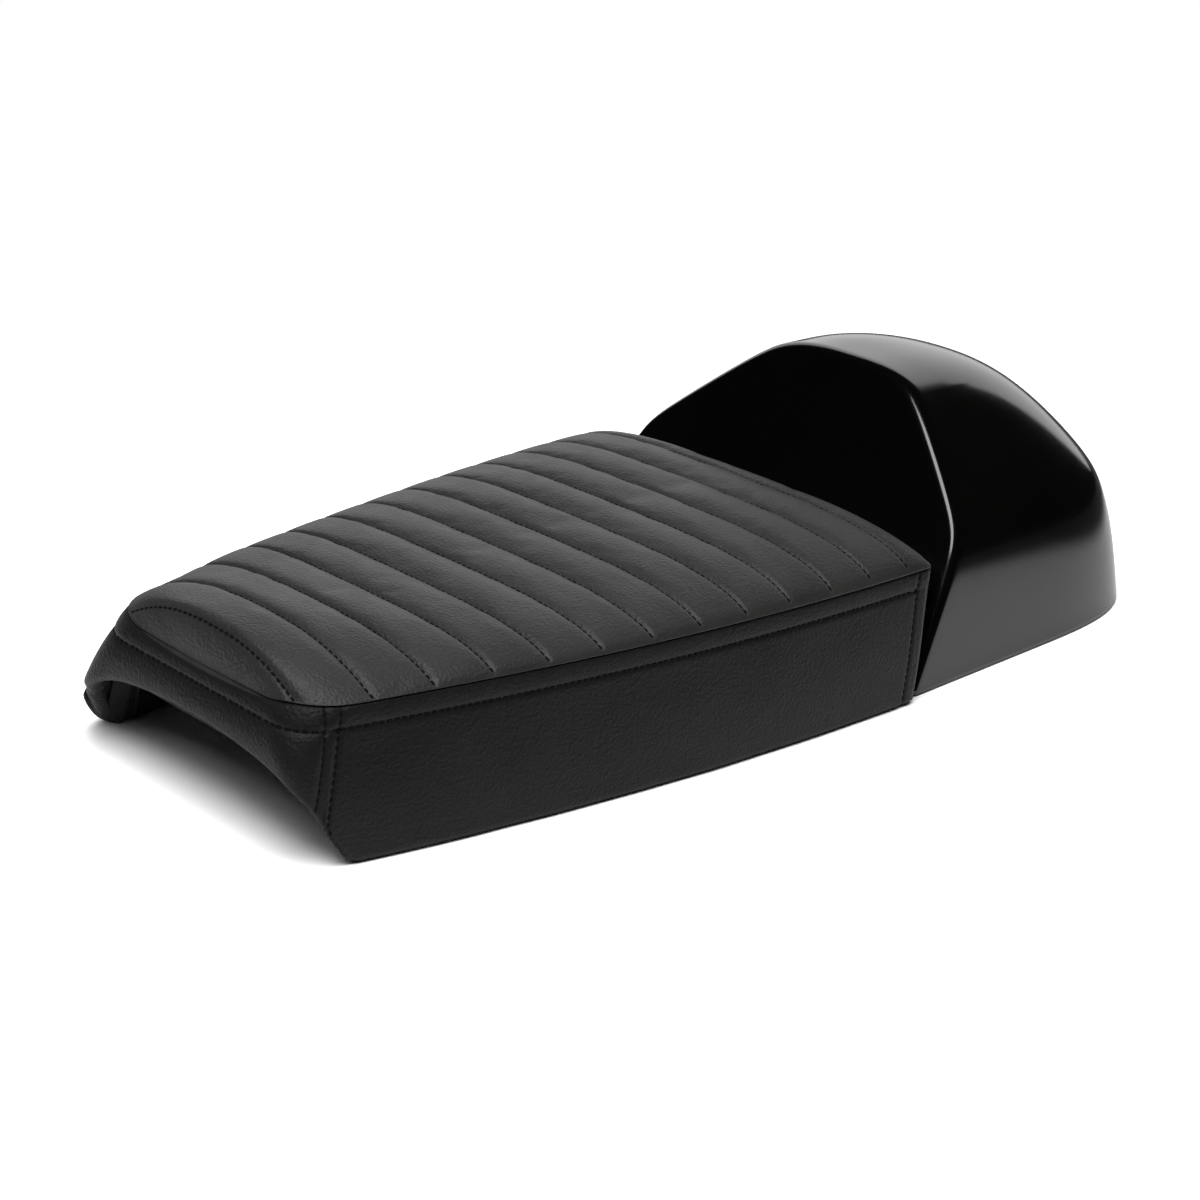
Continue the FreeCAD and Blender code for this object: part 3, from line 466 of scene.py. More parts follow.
@lru_cache(None)
def lower_edge(place):
    """The height at which a column of the wall ends."""
    if place >= REAR_RUN:
        return TRAY_DOOR_TOP if wall(place, 0.0)[1] < TRAY_DOOR_HALF else 0.0
    if place > ARCH_REACH:
        return 0.0
    spare = 0.0
    for step in range(1, EDGE_STEPS + 1):
        height = ARCH_TOP * (1 - step / EDGE_STEPS)
        now = wall(place, height)[1] - arch_half(height)
        if now <= 0:
            return height + ARCH_TOP / EDGE_STEPS * now / (now - spare)
        spare = now
    return 0.0


print("lower edge:", [(place, round(lower_edge(place), 1)) for place in SHOWN_PLACES])

# %% [markdown]
# New pieces start as a flat grid whose points are put in place one by one. Columns and rows are lists of
# places rather than equal steps, so that they can crowd together where a stitch pulls a sharp groove.

# %% Mesh helpers
def crowded(start, end, step, marks=(), reach=3.0, fine=0.5):
    """Places from start to end, a step apart, with finer ones round each mark."""
    count = max(2, round((end - start) / step))
    places = [start + (end - start) * i / count for i in range(count + 1)]
    for mark in marks:
        places = [p for p in places if abs(p - mark) > reach or p in (start, end)]
        for i in range(-round(reach / fine), round(reach / fine) + 1):
            if start < mark + i * fine < end:
                places.append(mark + i * fine)
    return sorted(places)


def placed_grid(columns, rows, put):
    bm = bmesh.new()
    bmesh.ops.create_grid(bm, x_segments=len(columns) - 1, y_segments=len(rows) - 1, size=1)
    for vert in bm.verts:
        column = columns[round((vert.co.x + 1) / 2 * (len(columns) - 1))]
        row = rows[round((vert.co.y + 1) / 2 * (len(rows) - 1))]
        vert.co = put(column, row)
    return bm


def face_out(bm, inside):
    """Turns the faces of a mesh so that they look away from a point inside it."""
    bm.normal_update()
    look = sum((face.calc_center_median() - inside).dot(face.normal) * face.calc_area() for face in bm.faces)
    if look < 0:
        bmesh.ops.reverse_faces(bm, faces=bm.faces[:])


def add_piece(name, bm, finish, slot, *nodes):
    """Makes an object of a mesh, dresses it and lets it stand for nodes of the frame."""
    for face in bm.faces:
        face.smooth = True
    data = bpy.data.meshes.new(name)
    bm.to_mesh(data)
    bm.free()
    piece = bpy.data.objects.new(name, data)
    bpy.context.scene.collection.objects.link(piece)
    dress(piece, finish)
    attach(piece, "root")
    if nodes:
        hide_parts(*nodes)
    print(name, len(data.vertices), "points")
    return piece


def smooth_once(piece):
    rounding = piece.modifiers.new("rounding", "SUBSURF")
    rounding.levels = 1
    rounding.render_levels = 1


print("places that crowd at 10:", crowded(0.0, 20.0, 5.0, (10.0,), 2.0, 1.0))

# %% [markdown]
# The wall panels are vinyl pulled over the pan. On the real seat each is cut flat, sewn to the top round
# the seam, top-stitched nine millimetres below it and rolled under the pan's edge. Three lines of thread
# run down each side: the corner seam, a second line close behind it and one near the rear.

# %% Stitch lines of the wall
STITCH_ROW_DROP = 9.4
LINE_BEHIND_CORNER = 6.0
REAR_LINE_SETBACK = 6.5

CORNER_SEAM = 1.0
side_length = wall(2.0, SEAM_FRONT_HEIGHT)[0] - wall(1.0, SEAM_FRONT_HEIGHT)[0]
SECOND_LINE = 1 + LINE_BEHIND_CORNER / side_length
REAR_LINE = 2 - REAR_LINE_SETBACK / side_length
print("side seam", round(side_length), "mm long, lines at places", round(SECOND_LINE, 3), round(REAR_LINE, 3))

# %% [markdown]
# Stitches press grooves into the vinyl, and the foam behind lets it swell a little between them. The right
# front leg is pulled outward at its foot. All of this is added to the plain wall as one distance outwards,
# with a slow noise on top, because hand-pulled vinyl is never quite flat.

# %% Relief of the wall
GROOVE_WIDTH = 1.3
ROW_GROOVE = 0.6
BAND_SWELL = 0.5
WALL_SWELL = 1.0
SHORTEST_WALL = 1.0
SEAM_TURN = 1.1
SEAM_NOTCH = 0.9
EAR = 8.5
EAR_HEIGHT = 12.0
EAR_TALL = 25.0
EAR_OFFSET = 79.0
EAR_WIDE = 15.0
WAVE_SIZE = 38.0
WAVE_DEPTH = 0.5
WAVE_FADE = 12.0


def groove(distance):
    return math.exp(-(distance / GROOVE_WIDTH) ** 2)


def apart(place, other, height):
    """How far two places of the wall are from each other at a height."""
    here = wall(place, height)
    there = wall(other, height)
    return math.hypot(here[0] - there[0], here[1] - there[1])


def ear(offset, height):
    """How far the right front leg is pulled outward."""
    up = (height - EAR_HEIGHT) / EAR_TALL
    across = (offset - EAR_OFFSET) / EAR_WIDE
    return EAR * math.exp(-up ** 2 - across ** 2)


def wall_relief(place, side, height):
    """How far the vinyl stands out from the plain wall."""
    station, offset, _ = wall(place, height)
    top = seam_height(station)
    drop = top - height
    out_by = -ROW_GROOVE * groove(drop - STITCH_ROW_DROP) if place < REAR_LINE else 0.0
    if drop < STITCH_ROW_DROP:
        out_by += BAND_SWELL * math.sin(math.pi * max(0.0, drop) / STITCH_ROW_DROP)
    else:
        share = (drop - STITCH_ROW_DROP) / max(SHORTEST_WALL, top - lower_edge(place) - STITCH_ROW_DROP)
        out_by += WALL_SWELL * math.sin(math.pi * min(1.0, share))
    for line in (SECOND_LINE, REAR_LINE):
        out_by -= ROW_GROOVE * groove(apart(place, line, height))
    out_by -= SEAM_NOTCH * math.exp(-apart(place, CORNER_SEAM, height) / SEAM_TURN)
    if side > 0:
        out_by += ear(offset, height)
    wave = noise.noise(Vector((station, offset * side, height)) / WAVE_SIZE)
    return out_by + WAVE_DEPTH * wave * min(1.0, max(0.0, drop - STITCH_ROW_DROP) / WAVE_FADE)


def wall_spot(place, side, height, inset=0.0):
    """A point on the dressed wall, or a way inside it."""
    station, offset, out = wall(place, height)
    out_by = wall_relief(place, side, height) - inset
    return spot(station + out[0] * out_by, side * (offset + out[1] * out_by), height)


print("relief in the middle of a side:", round(wall_relief(1.5, -1, LIP_HEIGHT), 2), "mm")

# %% [markdown]
# Each panel is one sheet, drawn from the seam down: a small turn into the seam, the band above the stitch
# row, the wall, the roll round the edge and the hem inside. A row of the grid is named by the part that it
# belongs to and by how far along that part it is.

# %% Wall rows
UPPER_ZONE = 12.5
TURN_TO_BAND = 0.4
HEM_WIDTH = 9.3
HEM_ROLL = 4.0
HEM_UP = 20.0
LOWER_COUNT = 26
ROLL_COUNT = 12
TURN_ROWS = [(3.6, 1.6), (2.6, 1.0), (1.5, 0.45), (0.75, 0.4), (0.3, 0.65), (0.08, 1.0)]
UPPER_ROWS = [0.0, 1.0, 2.2, 3.6, 5.0, 6.2, 7.0, 7.6, 8.1, 8.6, 9.0, 9.4, 9.8, 10.2, 10.8, 11.6]
LOWER_ROWS = [i / LOWER_COUNT for i in range(LOWER_COUNT + 1)]
ROLL_ROWS = [math.pi * i / ROLL_COUNT for i in range(1, ROLL_COUNT + 1)]
HEM_ROWS = [0.25, 0.5, 0.75, 1.0]
WALL_ROWS = ([("turn", t) for t in TURN_ROWS] + [("upper", u) for u in UPPER_ROWS]
             + [("lower", f) for f in LOWER_ROWS] + [("roll", a) for a in ROLL_ROWS]
             + [("hem", h) for h in HEM_ROWS])


def wall_row(place, side, row):
    """The point of a column of the wall that belongs to a row."""
    kind, value = row
    station, offset, _ = wall(place, SEAM_FRONT_HEIGHT)
    full_top = seam_height(station)
    top = full_top - (front_dip(offset) if place < CORNER_SEAM else 0.0)
    bottom = lower_edge(place) + HEM_ROLL
    if kind == "turn":
        inset, drop = value
        return wall_spot(place, side, top - drop, inset)
    if kind == "upper":
        start = TURN_ROWS[-1][1] + TURN_TO_BAND
        below = top - start
        return wall_spot(place, side, below + (full_top - UPPER_ZONE - below) * value / UPPER_ZONE)
    if kind == "lower":
        return wall_spot(place, side, (full_top - UPPER_ZONE) * (1 - value) + bottom * value)
    if kind == "roll":
        half = HEM_WIDTH / 2
        return wall_spot(place, side, bottom - HEM_ROLL * math.sin(value), half - half * math.cos(value))
    return wall_spot(place, side, bottom + HEM_UP * value, HEM_WIDTH)


print(len(WALL_ROWS), "rows from the seam to the hem")

# %% [markdown]
# Four panels close the wall: front, left, right and rear. They meet at the corner seams and just round the
# rear corners, as the real ones do. The panels could be simulated too, but they are pulled so tight that a
# formula gives the same shape at once. A level of subdivision rounds them.

# %% Front, side and rear panels
PAD_INSIDE = spot(180, 0, 40)
REAR_PANEL_EDGE = 3.04
COLUMN_STEP = 2.6
SHORTEST_STRETCH = 8.0
STRETCH_END = 0.999
LAST_IN_STRETCH = 0.9999


def place_steps(first, last, marks):
    """Places along the wall, crowded at the marks, with the millimetres of the seam as their steps."""
    found = []
    for stretch in range(int(first), int(last) + 1):
        length = max(SHORTEST_STRETCH, apart(float(stretch), stretch + STRETCH_END, SEAM_FRONT_HEIGHT))
        low = max(first, stretch)
        high = min(last, stretch + 1)
        if high > low:
            local = [(m - stretch) * length for m in marks if low <= m <= high]
            steps = crowded((low - stretch) * length, (high - stretch) * length, COLUMN_STEP, local)
            found += [stretch + min(LAST_IN_STRETCH, s / length) for s in steps]
    return sorted({round(p, 5) for p in found})


def wall_panel(name, columns, node):
    """One panel from columns of (place, side)."""
    bm = placed_grid(columns, WALL_ROWS, lambda column, row: wall_row(column[0], column[1], row))
    face_out(bm, PAD_INSIDE)
    smooth_once(add_piece(name, bm, shaded_wall_vinyl, "cover_vinyl", node))


front_half = place_steps(0.0, CORNER_SEAM, (CORNER_SEAM,))
front_columns = [(p, -1) for p in reversed(front_half[1:])] + [(p, 1) for p in front_half]
side_half = place_steps(CORNER_SEAM, REAR_PANEL_EDGE, (CORNER_SEAM, SECOND_LINE, REAR_LINE))
rear_half = place_steps(REAR_PANEL_EDGE, 4.0, ())
rear_columns = [(p, -1) for p in rear_half] + [(p, 1) for p in reversed(rear_half[:-1])]

wall_panel("front_panel", front_columns, "cover_front_panel")
wall_panel("left_panel", [(p, -1) for p in side_half], "cover_side_panel_left")
wall_panel("right_panel", [(p, 1) for p in side_half], "cover_side_panel_right")
wall_panel("rear_panel", rear_columns, "cover_rear_panel")

# %% [markdown]
# The top is what makes this seat: vinyl quilted over thin foam, thirteen stitch lines across, and soft
# pleats between them. Its crown is measured above the seam, line by line. Across the seat it is flat in the
# middle and falls steeply to the sides, except at the front, where it is a plain dome. The leaf in front of
# the first line and the roll behind the last one turn down into the seam.

# %% Crown of the top
FIRST_LINE = 11.0
PLEAT = 28.0
LINE_COUNT = 13
LINES = [FIRST_LINE + PLEAT * i for i in range(LINE_COUNT)]
CROWN_AT_LINES = (17.0, 16.9, 14.3, 12.4, 12.4, 13.0, 13.8, 15.0, 16.4, 17.4, 18.3, 18.9, 18.6)
LAST_SPAN = LINE_COUNT - 1.001
FRONT_ROLL = 6.0
FRONT_DOME_END = 95.0
DOME_POWER = 2.5
PILLOW_POWER = 3.5
PILLOW_FULLNESS = 0.6


def seam_half_width(station):
    """Half the width of the top at a station."""
    shape = outline_at(SEAM_FRONT_HEIGHT)
    station = min(REAR_SEAM, max(shape.front, station))
    if station < shape.corner_x - shape.corner * math.cos(shape.corner_end):
        return shape.corner_y + math.sqrt(max(0.0, shape.corner ** 2 - (shape.corner_x - station) ** 2))
    side_end = REAR_SEAM - REAR_CORNER
    offset = shape.bow_middle + math.sqrt(shape.bow ** 2 - (min(station, side_end) - WIDEST_STATION) ** 2)
    if station > side_end:
        offset -= REAR_CORNER - math.sqrt(max(0.0, REAR_CORNER ** 2 - (station - side_end) ** 2))
    return offset


def eased(share):
    share = min(1.0, max(0.0, share))
    return share * share * (3 - 2 * share)


def through_crowns(run):
    """A smooth curve through the crown's heights, at a count of pleats behind the first line."""
    before = int(run)
    share = run - before
    heights = CROWN_AT_LINES
    p0, p1 = heights[max(0, before - 1)], heights[before]
    p2, p3 = heights[before + 1], heights[min(LINE_COUNT - 1, before + 2)]
    square = 2 * p0 - 5 * p1 + 4 * p2 - p3
    cube = 3 * (p1 - p2) + p3 - p0
    return p1 + 0.5 * share * (p2 - p0 + share * (square + share * cube))


def crown(station):
    """Height of the top's middle above the seam."""
    high = through_crowns(min(max((station - FIRST_LINE) / PLEAT, 0.0), LAST_SPAN))
    if station < SEAM_FRONT + FRONT_ROLL:
        fall = (SEAM_FRONT + FRONT_ROLL - station) / FRONT_ROLL
        high *= math.sqrt(max(0.0, 1 - fall ** 2))
    if station > LINES[-1]:
        fall = (station - LINES[-1]) / (REAR_SEAM - LINES[-1])
        high *= math.sqrt(max(0.0, 1 - fall ** 2))
    return high


def across_profile(station, share):
    """How the crown falls from the middle, 0, to the seam, 1."""
    dome = 1 - abs(share) ** DOME_POWER
    pillow = max(0.0, 1 - abs(share) ** PILLOW_POWER) ** PILLOW_FULLNESS
    blend = eased((station - FIRST_LINE - PLEAT) / (FRONT_DOME_END - FIRST_LINE - PLEAT))
    return dome + (pillow - dome) * blend


print("top is", round(2 * seam_half_width(LINES[0])), "mm wide at the first line and",
      round(2 * seam_half_width(LINES[-1])), "at the last")

# %% [markdown]
# Between two stitch lines the foam lifts the vinyl into a pleat, and at a line the thread pulls it down
# into a narrow notch. Both fade out towards the side seams. The sheet that the simulation starts from has
# a part of that puff already, so that the cloth only has to add the last bit.

# %% Pleats
SWELL = 1.5
SWELL_POWER = 4.0
SWELL_FADE_POWER = 9
NOTCH = 1.3
NOTCH_WIDTH = 1.25
NOTCH_FADE_POWER = 30
TOP_GAP = 0.3


def pleat_swell(station, share, swell):
    """How far the vinyl puffs up between two stitch lines, and how the thread pulls it down at a line."""
    stops = [SEAM_FRONT] + LINES + [REAR_SEAM]
    for low, high in zip(stops, stops[1:]):
        if low <= station <= high:
            inside = 2 * (station - low) / (high - low) - 1
            full = 1 - abs(inside) ** SWELL_POWER
            behind = station - low if low > SEAM_FRONT else PLEAT
            ahead = high - station if high < REAR_SEAM else PLEAT
            notch = NOTCH * math.exp(-(min(behind, ahead) / NOTCH_WIDTH) ** 2)
            width = min(1.0, (high - low) / PLEAT)
            puff = swell * SWELL * width * full * (1 - abs(share) ** SWELL_FADE_POWER)
            return puff - notch * (1 - abs(share) ** NOTCH_FADE_POWER)
    return 0.0


def top_spot(station, share, swell=1.0):
    half = seam_half_width(station)
    rise = crown(station) * across_profile(station, share)
    height = seam_height(station) + TOP_GAP + rise + pleat_swell(station, share, swell)
    if station < FIRST_LINE:
        height -= front_dip(half * share) * (FIRST_LINE - station) / (FIRST_LINE - SEAM_FRONT)
    return spot(station, half * share, height)


print("a pleat stands", round(pleat_swell(FIRST_LINE + PLEAT / 2, 0.0, 1.0)
                              - pleat_swell(FIRST_LINE + PLEAT, 0.0, 1.0), 2), "mm above its stitch line")

# %% [markdown]
# The top is one grid. Its rows crowd at the stitch lines, where the vinyl bends most, and its columns crowd
# at the side seams, where the crown falls steeply.

# %% Quilted top
LEAF_STEPS = (0.0, 0.02, 0.07, 0.15, 0.27, 0.42, 0.6, 0.8)
PLEAT_STEPS = (0.0, 0.018, 0.038, 0.065, 0.11, 0.18, 0.28, 0.4,
               0.5, 0.6, 0.72, 0.82, 0.89, 0.935, 0.962, 0.982)
ROLL_STEPS = (0.0, 0.04, 0.1, 0.2, 0.3, 0.4, 0.5, 0.6, 0.69, 0.77, 0.84, 0.9, 0.945, 0.975, 0.993, 1.0)
TOP_COLUMNS = 96
EDGE_CROWDING = 1.7
SWELL_BEFORE_STUFFING = 0.6
early_swell = SWELL_BEFORE_STUFFING


def edge_crowded(count, power):
    """Shares from -1 to 1 that crowd towards both ends."""
    shares = [2 * i / count - 1 for i in range(count + 1)]
    return [math.copysign(1 - (1 - abs(k)) ** power, k) for k in shares]


top_stations = [SEAM_FRONT + (FIRST_LINE - SEAM_FRONT) * s for s in LEAF_STEPS]
for line in LINES[:-1]:
    top_stations += [line + PLEAT * s for s in PLEAT_STEPS]
top_stations += [LINES[-1] + (REAR_SEAM - LINES[-1]) * s for s in ROLL_STEPS]
top_shares = edge_crowded(TOP_COLUMNS, EDGE_CROWDING)


def open_top():
    """The top before it is stuffed: the crown, with shallow pleats."""
    bm = placed_grid(top_stations, top_shares, lambda station, share: top_spot(station, share, early_swell))
    face_out(bm, PAD_INSIDE)
    return add_piece("quilted_top", bm, lit_top_vinyl, "cover_vinyl", "cover_top_panel")


top = open_top()

# %% [markdown]
# The pleats get the rest of their puff from a cloth simulation, the way the real ones get it from the foam
# behind them. The sheet is pinned along the stitch lines and the outer seam, and a little too large, so that
# pressure from below lifts it between the lines. Nothing may move more than about a millimetre. The result
# is written into the mesh and the modifier is taken off again.

# %% Stuffing
SIM_FRAMES = 20
MOST_PUFF = 1.2
ON_LINE_WITHIN = 0.05
CLOTH_RULES = {
    "quality": 6,
    "mass": 0.002,
    "tension_stiffness": 12,
    "compression_stiffness": 12,
    "shear_stiffness": 6,
    "bending_stiffness": 0.6,
    "air_damping": 4,
    "use_pressure": True,
    "uniform_pressure_force": 4.0,
    "shrink_min": -0.002,
    "vertex_group_mass": "sewn",
}


def sewn_points(piece):
    """The points of the top that thread holds down: the stitch lines and the outer edge."""
    held = set()
    stitched = [spot(line, 0, 0).x for line in LINES]
    for vert in piece.data.vertices:
        if min(abs(vert.co.x - x) for x in stitched) < ON_LINE_WITHIN * MM:
            held.add(vert.index)
    bm = bmesh.new()
    bm.from_mesh(piece.data)
    held.update(v.index for e in bm.edges if e.is_boundary for v in e.verts)
    bm.free()
    return sorted(held)


def stuff(piece):
    """Inflates the piece between its sewn points and keeps the result."""
    scene = bpy.context.scene
    before = [v.co.copy() for v in piece.data.vertices]
    group = piece.vertex_groups.new(name="sewn")
    group.add(sewn_points(piece), 1.0, "REPLACE")
    cloth = piece.modifiers.new("stuffing", "CLOTH")
    cloth.point_cache.frame_start = 1
    cloth.point_cache.frame_end = SIM_FRAMES
    for rule, value in CLOTH_RULES.items():
        setattr(cloth.settings, rule, value)
    cloth.settings.effector_weights.gravity = 0
    for number in range(1, SIM_FRAMES + 1):
        scene.frame_set(number)
    shown = piece.evaluated_get(bpy.context.evaluated_depsgraph_get())
    after = [v.co.copy() for v in shown.data.vertices]
    piece.modifiers.remove(cloth)
    piece.vertex_groups.remove(group)
    scene.frame_set(1)
    moves = [(new - old) for old, new in zip(before, after)]
    for vert, old, move in zip(piece.data.vertices, before, moves):
        vert.co = old + move * min(1.0, MOST_PUFF * MM / max(move.length, 1e-9))
    lengths = sorted(move.length / MM for move in moves)
    print("stuffing, before the cap, moved half the points by", round(lengths[len(lengths) // 2], 2),
          "mm or more, at most", round(lengths[-1], 2))


stuff(top)

# %% [markdown]
# The rim of the top is turned down into the seam. Its open edge is extruded twice, each time a little
# further inward and down, which leaves a dark crease all round between the top and the walls.

# %% Turned edge
TURN_STEPS = ((0.9, 0.5), (2.6, 1.6))
HALF_LENGTH = 180.0
HALF_WIDTH = 115.0
LEAST_REACH = 0.2


def turn_edge(piece):
    bm = bmesh.new()
    bm.from_mesh(piece.data)
    edge = [e for e in bm.edges if e.is_boundary]
    for inward, down in TURN_STEPS:
        made = bmesh.ops.extrude_edge_only(bm, edges=edge)["geom"]
        edge = [e for e in made if isinstance(e, bmesh.types.BMEdge) and e.is_boundary]
        for vert in {v for e in edge for v in e.verts}:
            aim = Vector((PAD_INSIDE.x - vert.co.x, -vert.co.y, 0))
            reach = max(abs(aim.x) / HALF_LENGTH, abs(aim.y) / HALF_WIDTH) / MM
            vert.co += aim / max(reach, LEAST_REACH) * inward / HALF_WIDTH - Vector((0, 0, down * MM))
    for face in bm.faces:
        face.smooth = True
    bm.to_mesh(piece.data)
    bm.free()


turn_edge(top)
smooth_once(top)
print("top has", len(top.data.polygons), "faces")

# %% [markdown]
# Stitches are small, so each one is only a squashed sphere of two dozen faces, laid along a line on the
# surface. One function walks along a line of points and drops a stitch every few millimetres.

# %% Sewing
STITCH_LENGTH = 3.1
STITCH_GAP = 0.5
STITCH_HALF_WIDTH = 0.7
STITCH_HALF_DEPTH = 0.5
STITCH_LIFT = 0.1
STITCH_SIDES = 6
STITCH_RINGS = 4


def sew(bm, points, lift):
    """Lays stitches along a line of points, each raised by a vector."""
    pitch = (STITCH_LENGTH + STITCH_GAP) * MM
    size = Matrix.Diagonal((STITCH_LENGTH / 2 * MM, STITCH_HALF_WIDTH * MM, STITCH_HALF_DEPTH * MM, 1))
    travelled = 0.0
    next_start = pitch / 2
    for start, end in zip(points, points[1:]):
        length = (end - start).length
        while length > 0 and next_start <= travelled + length:
            middle = start.lerp(end, (next_start - travelled) / length)
            along = (end - start).normalized()
            up = (lift - along * lift.dot(along)).normalized()
            turn = Matrix((along, up.cross(along), up)).transposed().to_4x4()
            place = Matrix.Translation(middle + up * STITCH_LIFT * MM) @ turn @ size
            bmesh.ops.create_uvsphere(bm, u_segments=STITCH_SIDES, v_segments=STITCH_RINGS, radius=1,
                                      matrix=place)
            next_start += pitch
        travelled += length


print("a stitch every", STITCH_LENGTH + STITCH_GAP, "mm")

# %% [markdown]
# The thirteen lines of the top are sewn across it, almost from seam to seam. On the walls a row runs round
# below the seam and three lines run down each side. The row goes round a corner, so it is sewn a few points
# at a time, each group raised in the direction that the wall faces there.

# %% Stitch rows
STITCHED_SHARE = 0.985
PLEAT_LINE_STEPS = 160
LINE_START_DROP = 1.5
WALL_LINE_STEPS = 30
POINTS_AT_A_TIME = 5
SECOND_LINE_END = 16.0


def pleat_stitches():
    bm = bmesh.new()
    steps = range(PLEAT_LINE_STEPS + 1)
    shares = [-STITCHED_SHARE + 2 * STITCHED_SHARE * i / PLEAT_LINE_STEPS for i in steps]
    for line in LINES:
        sew(bm, [top_spot(line, share) for share in shares], Vector((0, 0, 1)))
    add_piece("pleat_stitches", bm, thread_and_groove_shade, "cover_vinyl")


def outward(place, side):
    """The direction that the wall faces at a place."""
    out = wall(place, LIP_HEIGHT)[2]
    return Vector((out[0], side * out[1], 0))


def sew_round(bm, side):
    """Sews the row below the seam, whose outward direction changes from place to place."""
    group = []
    for place in place_steps(0.0, REAR_LINE, ()):
        height = seam_height(wall(place, SEAM_FRONT_HEIGHT)[0]) - STITCH_ROW_DROP
        group.append(wall_spot(place, side, height))
        if len(group) == POINTS_AT_A_TIME:
            sew(bm, group, outward(place, side))
            group = group[-1:]


def sew_down(bm, line, side):
    """Sews a line from the seam down to the hem, or to where the second line ends."""
    bottom = SECOND_LINE_END if line == SECOND_LINE else lower_edge(line) + HEM_ROLL
    start = seam_height(wall(line, SEAM_FRONT_HEIGHT)[0]) - LINE_START_DROP
    heights = [start + (bottom - start) * i / WALL_LINE_STEPS for i in range(WALL_LINE_STEPS + 1)]
    sew(bm, [wall_spot(line, side, height) for height in heights], outward(line, side))


def wall_stitches():
    bm = bmesh.new()
    for side in (-1, 1):
        sew_round(bm, side)
        for line in (CORNER_SEAM, SECOND_LINE, REAR_LINE):
            sew_down(bm, line, side)
    add_piece("wall_stitches", bm, thread_and_groove_shade, "cover_vinyl")


pleat_stitches()
wall_stitches()

# %% [markdown]
# The cowl is one gloss moulding: upright walls at the bottom, a shoulder, sloping flanks, a soft crease and
# a rounded crown that runs down into the tail. Gloss black shows every flaw, so its skin is drawn as one
# clean grid. Its width at any height is the smaller of three widths, rounded where they cross.

# %% Cowl sizes
COWL_FRONT = 357.3
COWL_END = 605.3
COWL_TOP = 138.5
COWL_FOOT = 0.9
COWL_LEAN = math.tan(math.radians(28.4))
COWL_HALF = 123.2
SHOULDER_HALF = 112.9
SHOULDER_HEIGHT = 76.0
CREASE_HALF = 56.0
CREASE_HEIGHT = 128.0
SHOULDER_SOFTNESS = 9.0
CREASE_SOFTNESS = 6.0
CROWN_POWER = 3.0
TAIL_START = 455.1
TAIL_END_POWER = 2.39
TAIL_TOP_POWER = 2.43
PLAN_POWER_FLOOR = 3.9
PLAN_POWER_TOP = 2.15


def soft_least(first, second, softness):
    """The smaller of two widths, rounded where they cross."""
    return (first + second - math.hypot(first - second, softness)) / 2


def cowl_half(height):
    """Half the cowl's width at a height."""
    upright = COWL_HALF + (SHOULDER_HALF - COWL_HALF) * height / SHOULDER_HEIGHT
    slope = (CREASE_HALF - SHOULDER_HALF) / (CREASE_HEIGHT - SHOULDER_HEIGHT)
    flank = SHOULDER_HALF + slope * (height - SHOULDER_HEIGHT)
    bell = soft_least(upright, flank, SHOULDER_SOFTNESS)
    below = max(0.0, COWL_TOP - height) / (COWL_TOP - CREASE_HEIGHT)
    fade = below ** (1 / CROWN_POWER) if below < 1 else 1 + (below - 1) / CROWN_POWER
    return max(0.0, soft_least(bell, CREASE_HALF * fade, CREASE_SOFTNESS * min(1.0, fade)))


def cowl_tail(turn, height):
    """A point of the cowl's tail: its level outline is a rounded box that gets rounder towards the top."""
    share = height / COWL_TOP
    length = (COWL_END - TAIL_START) * max(0.0, 1 - share ** TAIL_TOP_POWER) ** (1 / TAIL_END_POWER)
    power = PLAN_POWER_FLOOR + (PLAN_POWER_TOP - PLAN_POWER_FLOOR) * share
    spread = (abs(math.cos(turn)) ** power + abs(math.sin(turn)) ** power) ** (1 / power)
    station = TAIL_START + length * math.cos(turn) / spread
    return spot(station, cowl_half(height) * math.sin(turn) / spread, height)


print("cowl half widths:", [round(cowl_half(height), 1) for height in (0.0, SHOULDER_HEIGHT, CREASE_HEIGHT)])

# %% [markdown]
# Each row of the grid is a level outline. Its columns start in the middle of the leaning front wall, go
# round the rim, along the side and round the tail, and come back along the other side. Rows crowd at the
# shoulder, below the crease and over the crown, where the form turns fastest.

# %% Cowl rows and columns
RIM_RADIUS = 6.0
WALL_CENTRE_HEIGHT = 62.0
SIDE_STEPS = 9
RIM_STEPS = 8
WALL_STEPS = 8
TAIL_STEPS = 80
ROW_STEP = 4.0
FINE_ROW_STEP = 1.5
FINE_REACH = 12.0
FLANK_TOP = CREASE_HEIGHT - 1.0
FLANK_TURN = CREASE_HEIGHT - 13.0
CROWN_ROWS = 24

half_round = ([("wall", i / WALL_STEPS) for i in range(WALL_STEPS)]
              + [("rim", 1 - i / RIM_STEPS) for i in range(RIM_STEPS)]
              + [("side", i / SIDE_STEPS) for i in range(SIDE_STEPS)])
tail_turns = [math.pi * (i / TAIL_STEPS - 0.5) for i in range(TAIL_STEPS + 1)]
cowl_columns = ([(kind, share, -1) for kind, share in half_round]
                + [("tail", turn, 0) for turn in tail_turns]
                + [(kind, share, 1) for kind, share in reversed(half_round)])
cowl_heights = crowded(COWL_FOOT, FLANK_TOP, ROW_STEP, (SHOULDER_HEIGHT, FLANK_TURN),
                       FINE_REACH, FINE_ROW_STEP)
for i in range(CROWN_ROWS + 1):
    cowl_heights.append(CREASE_HEIGHT + (COWL_TOP - CREASE_HEIGHT) * math.sin(math.pi / 2 * i / CROWN_ROWS))


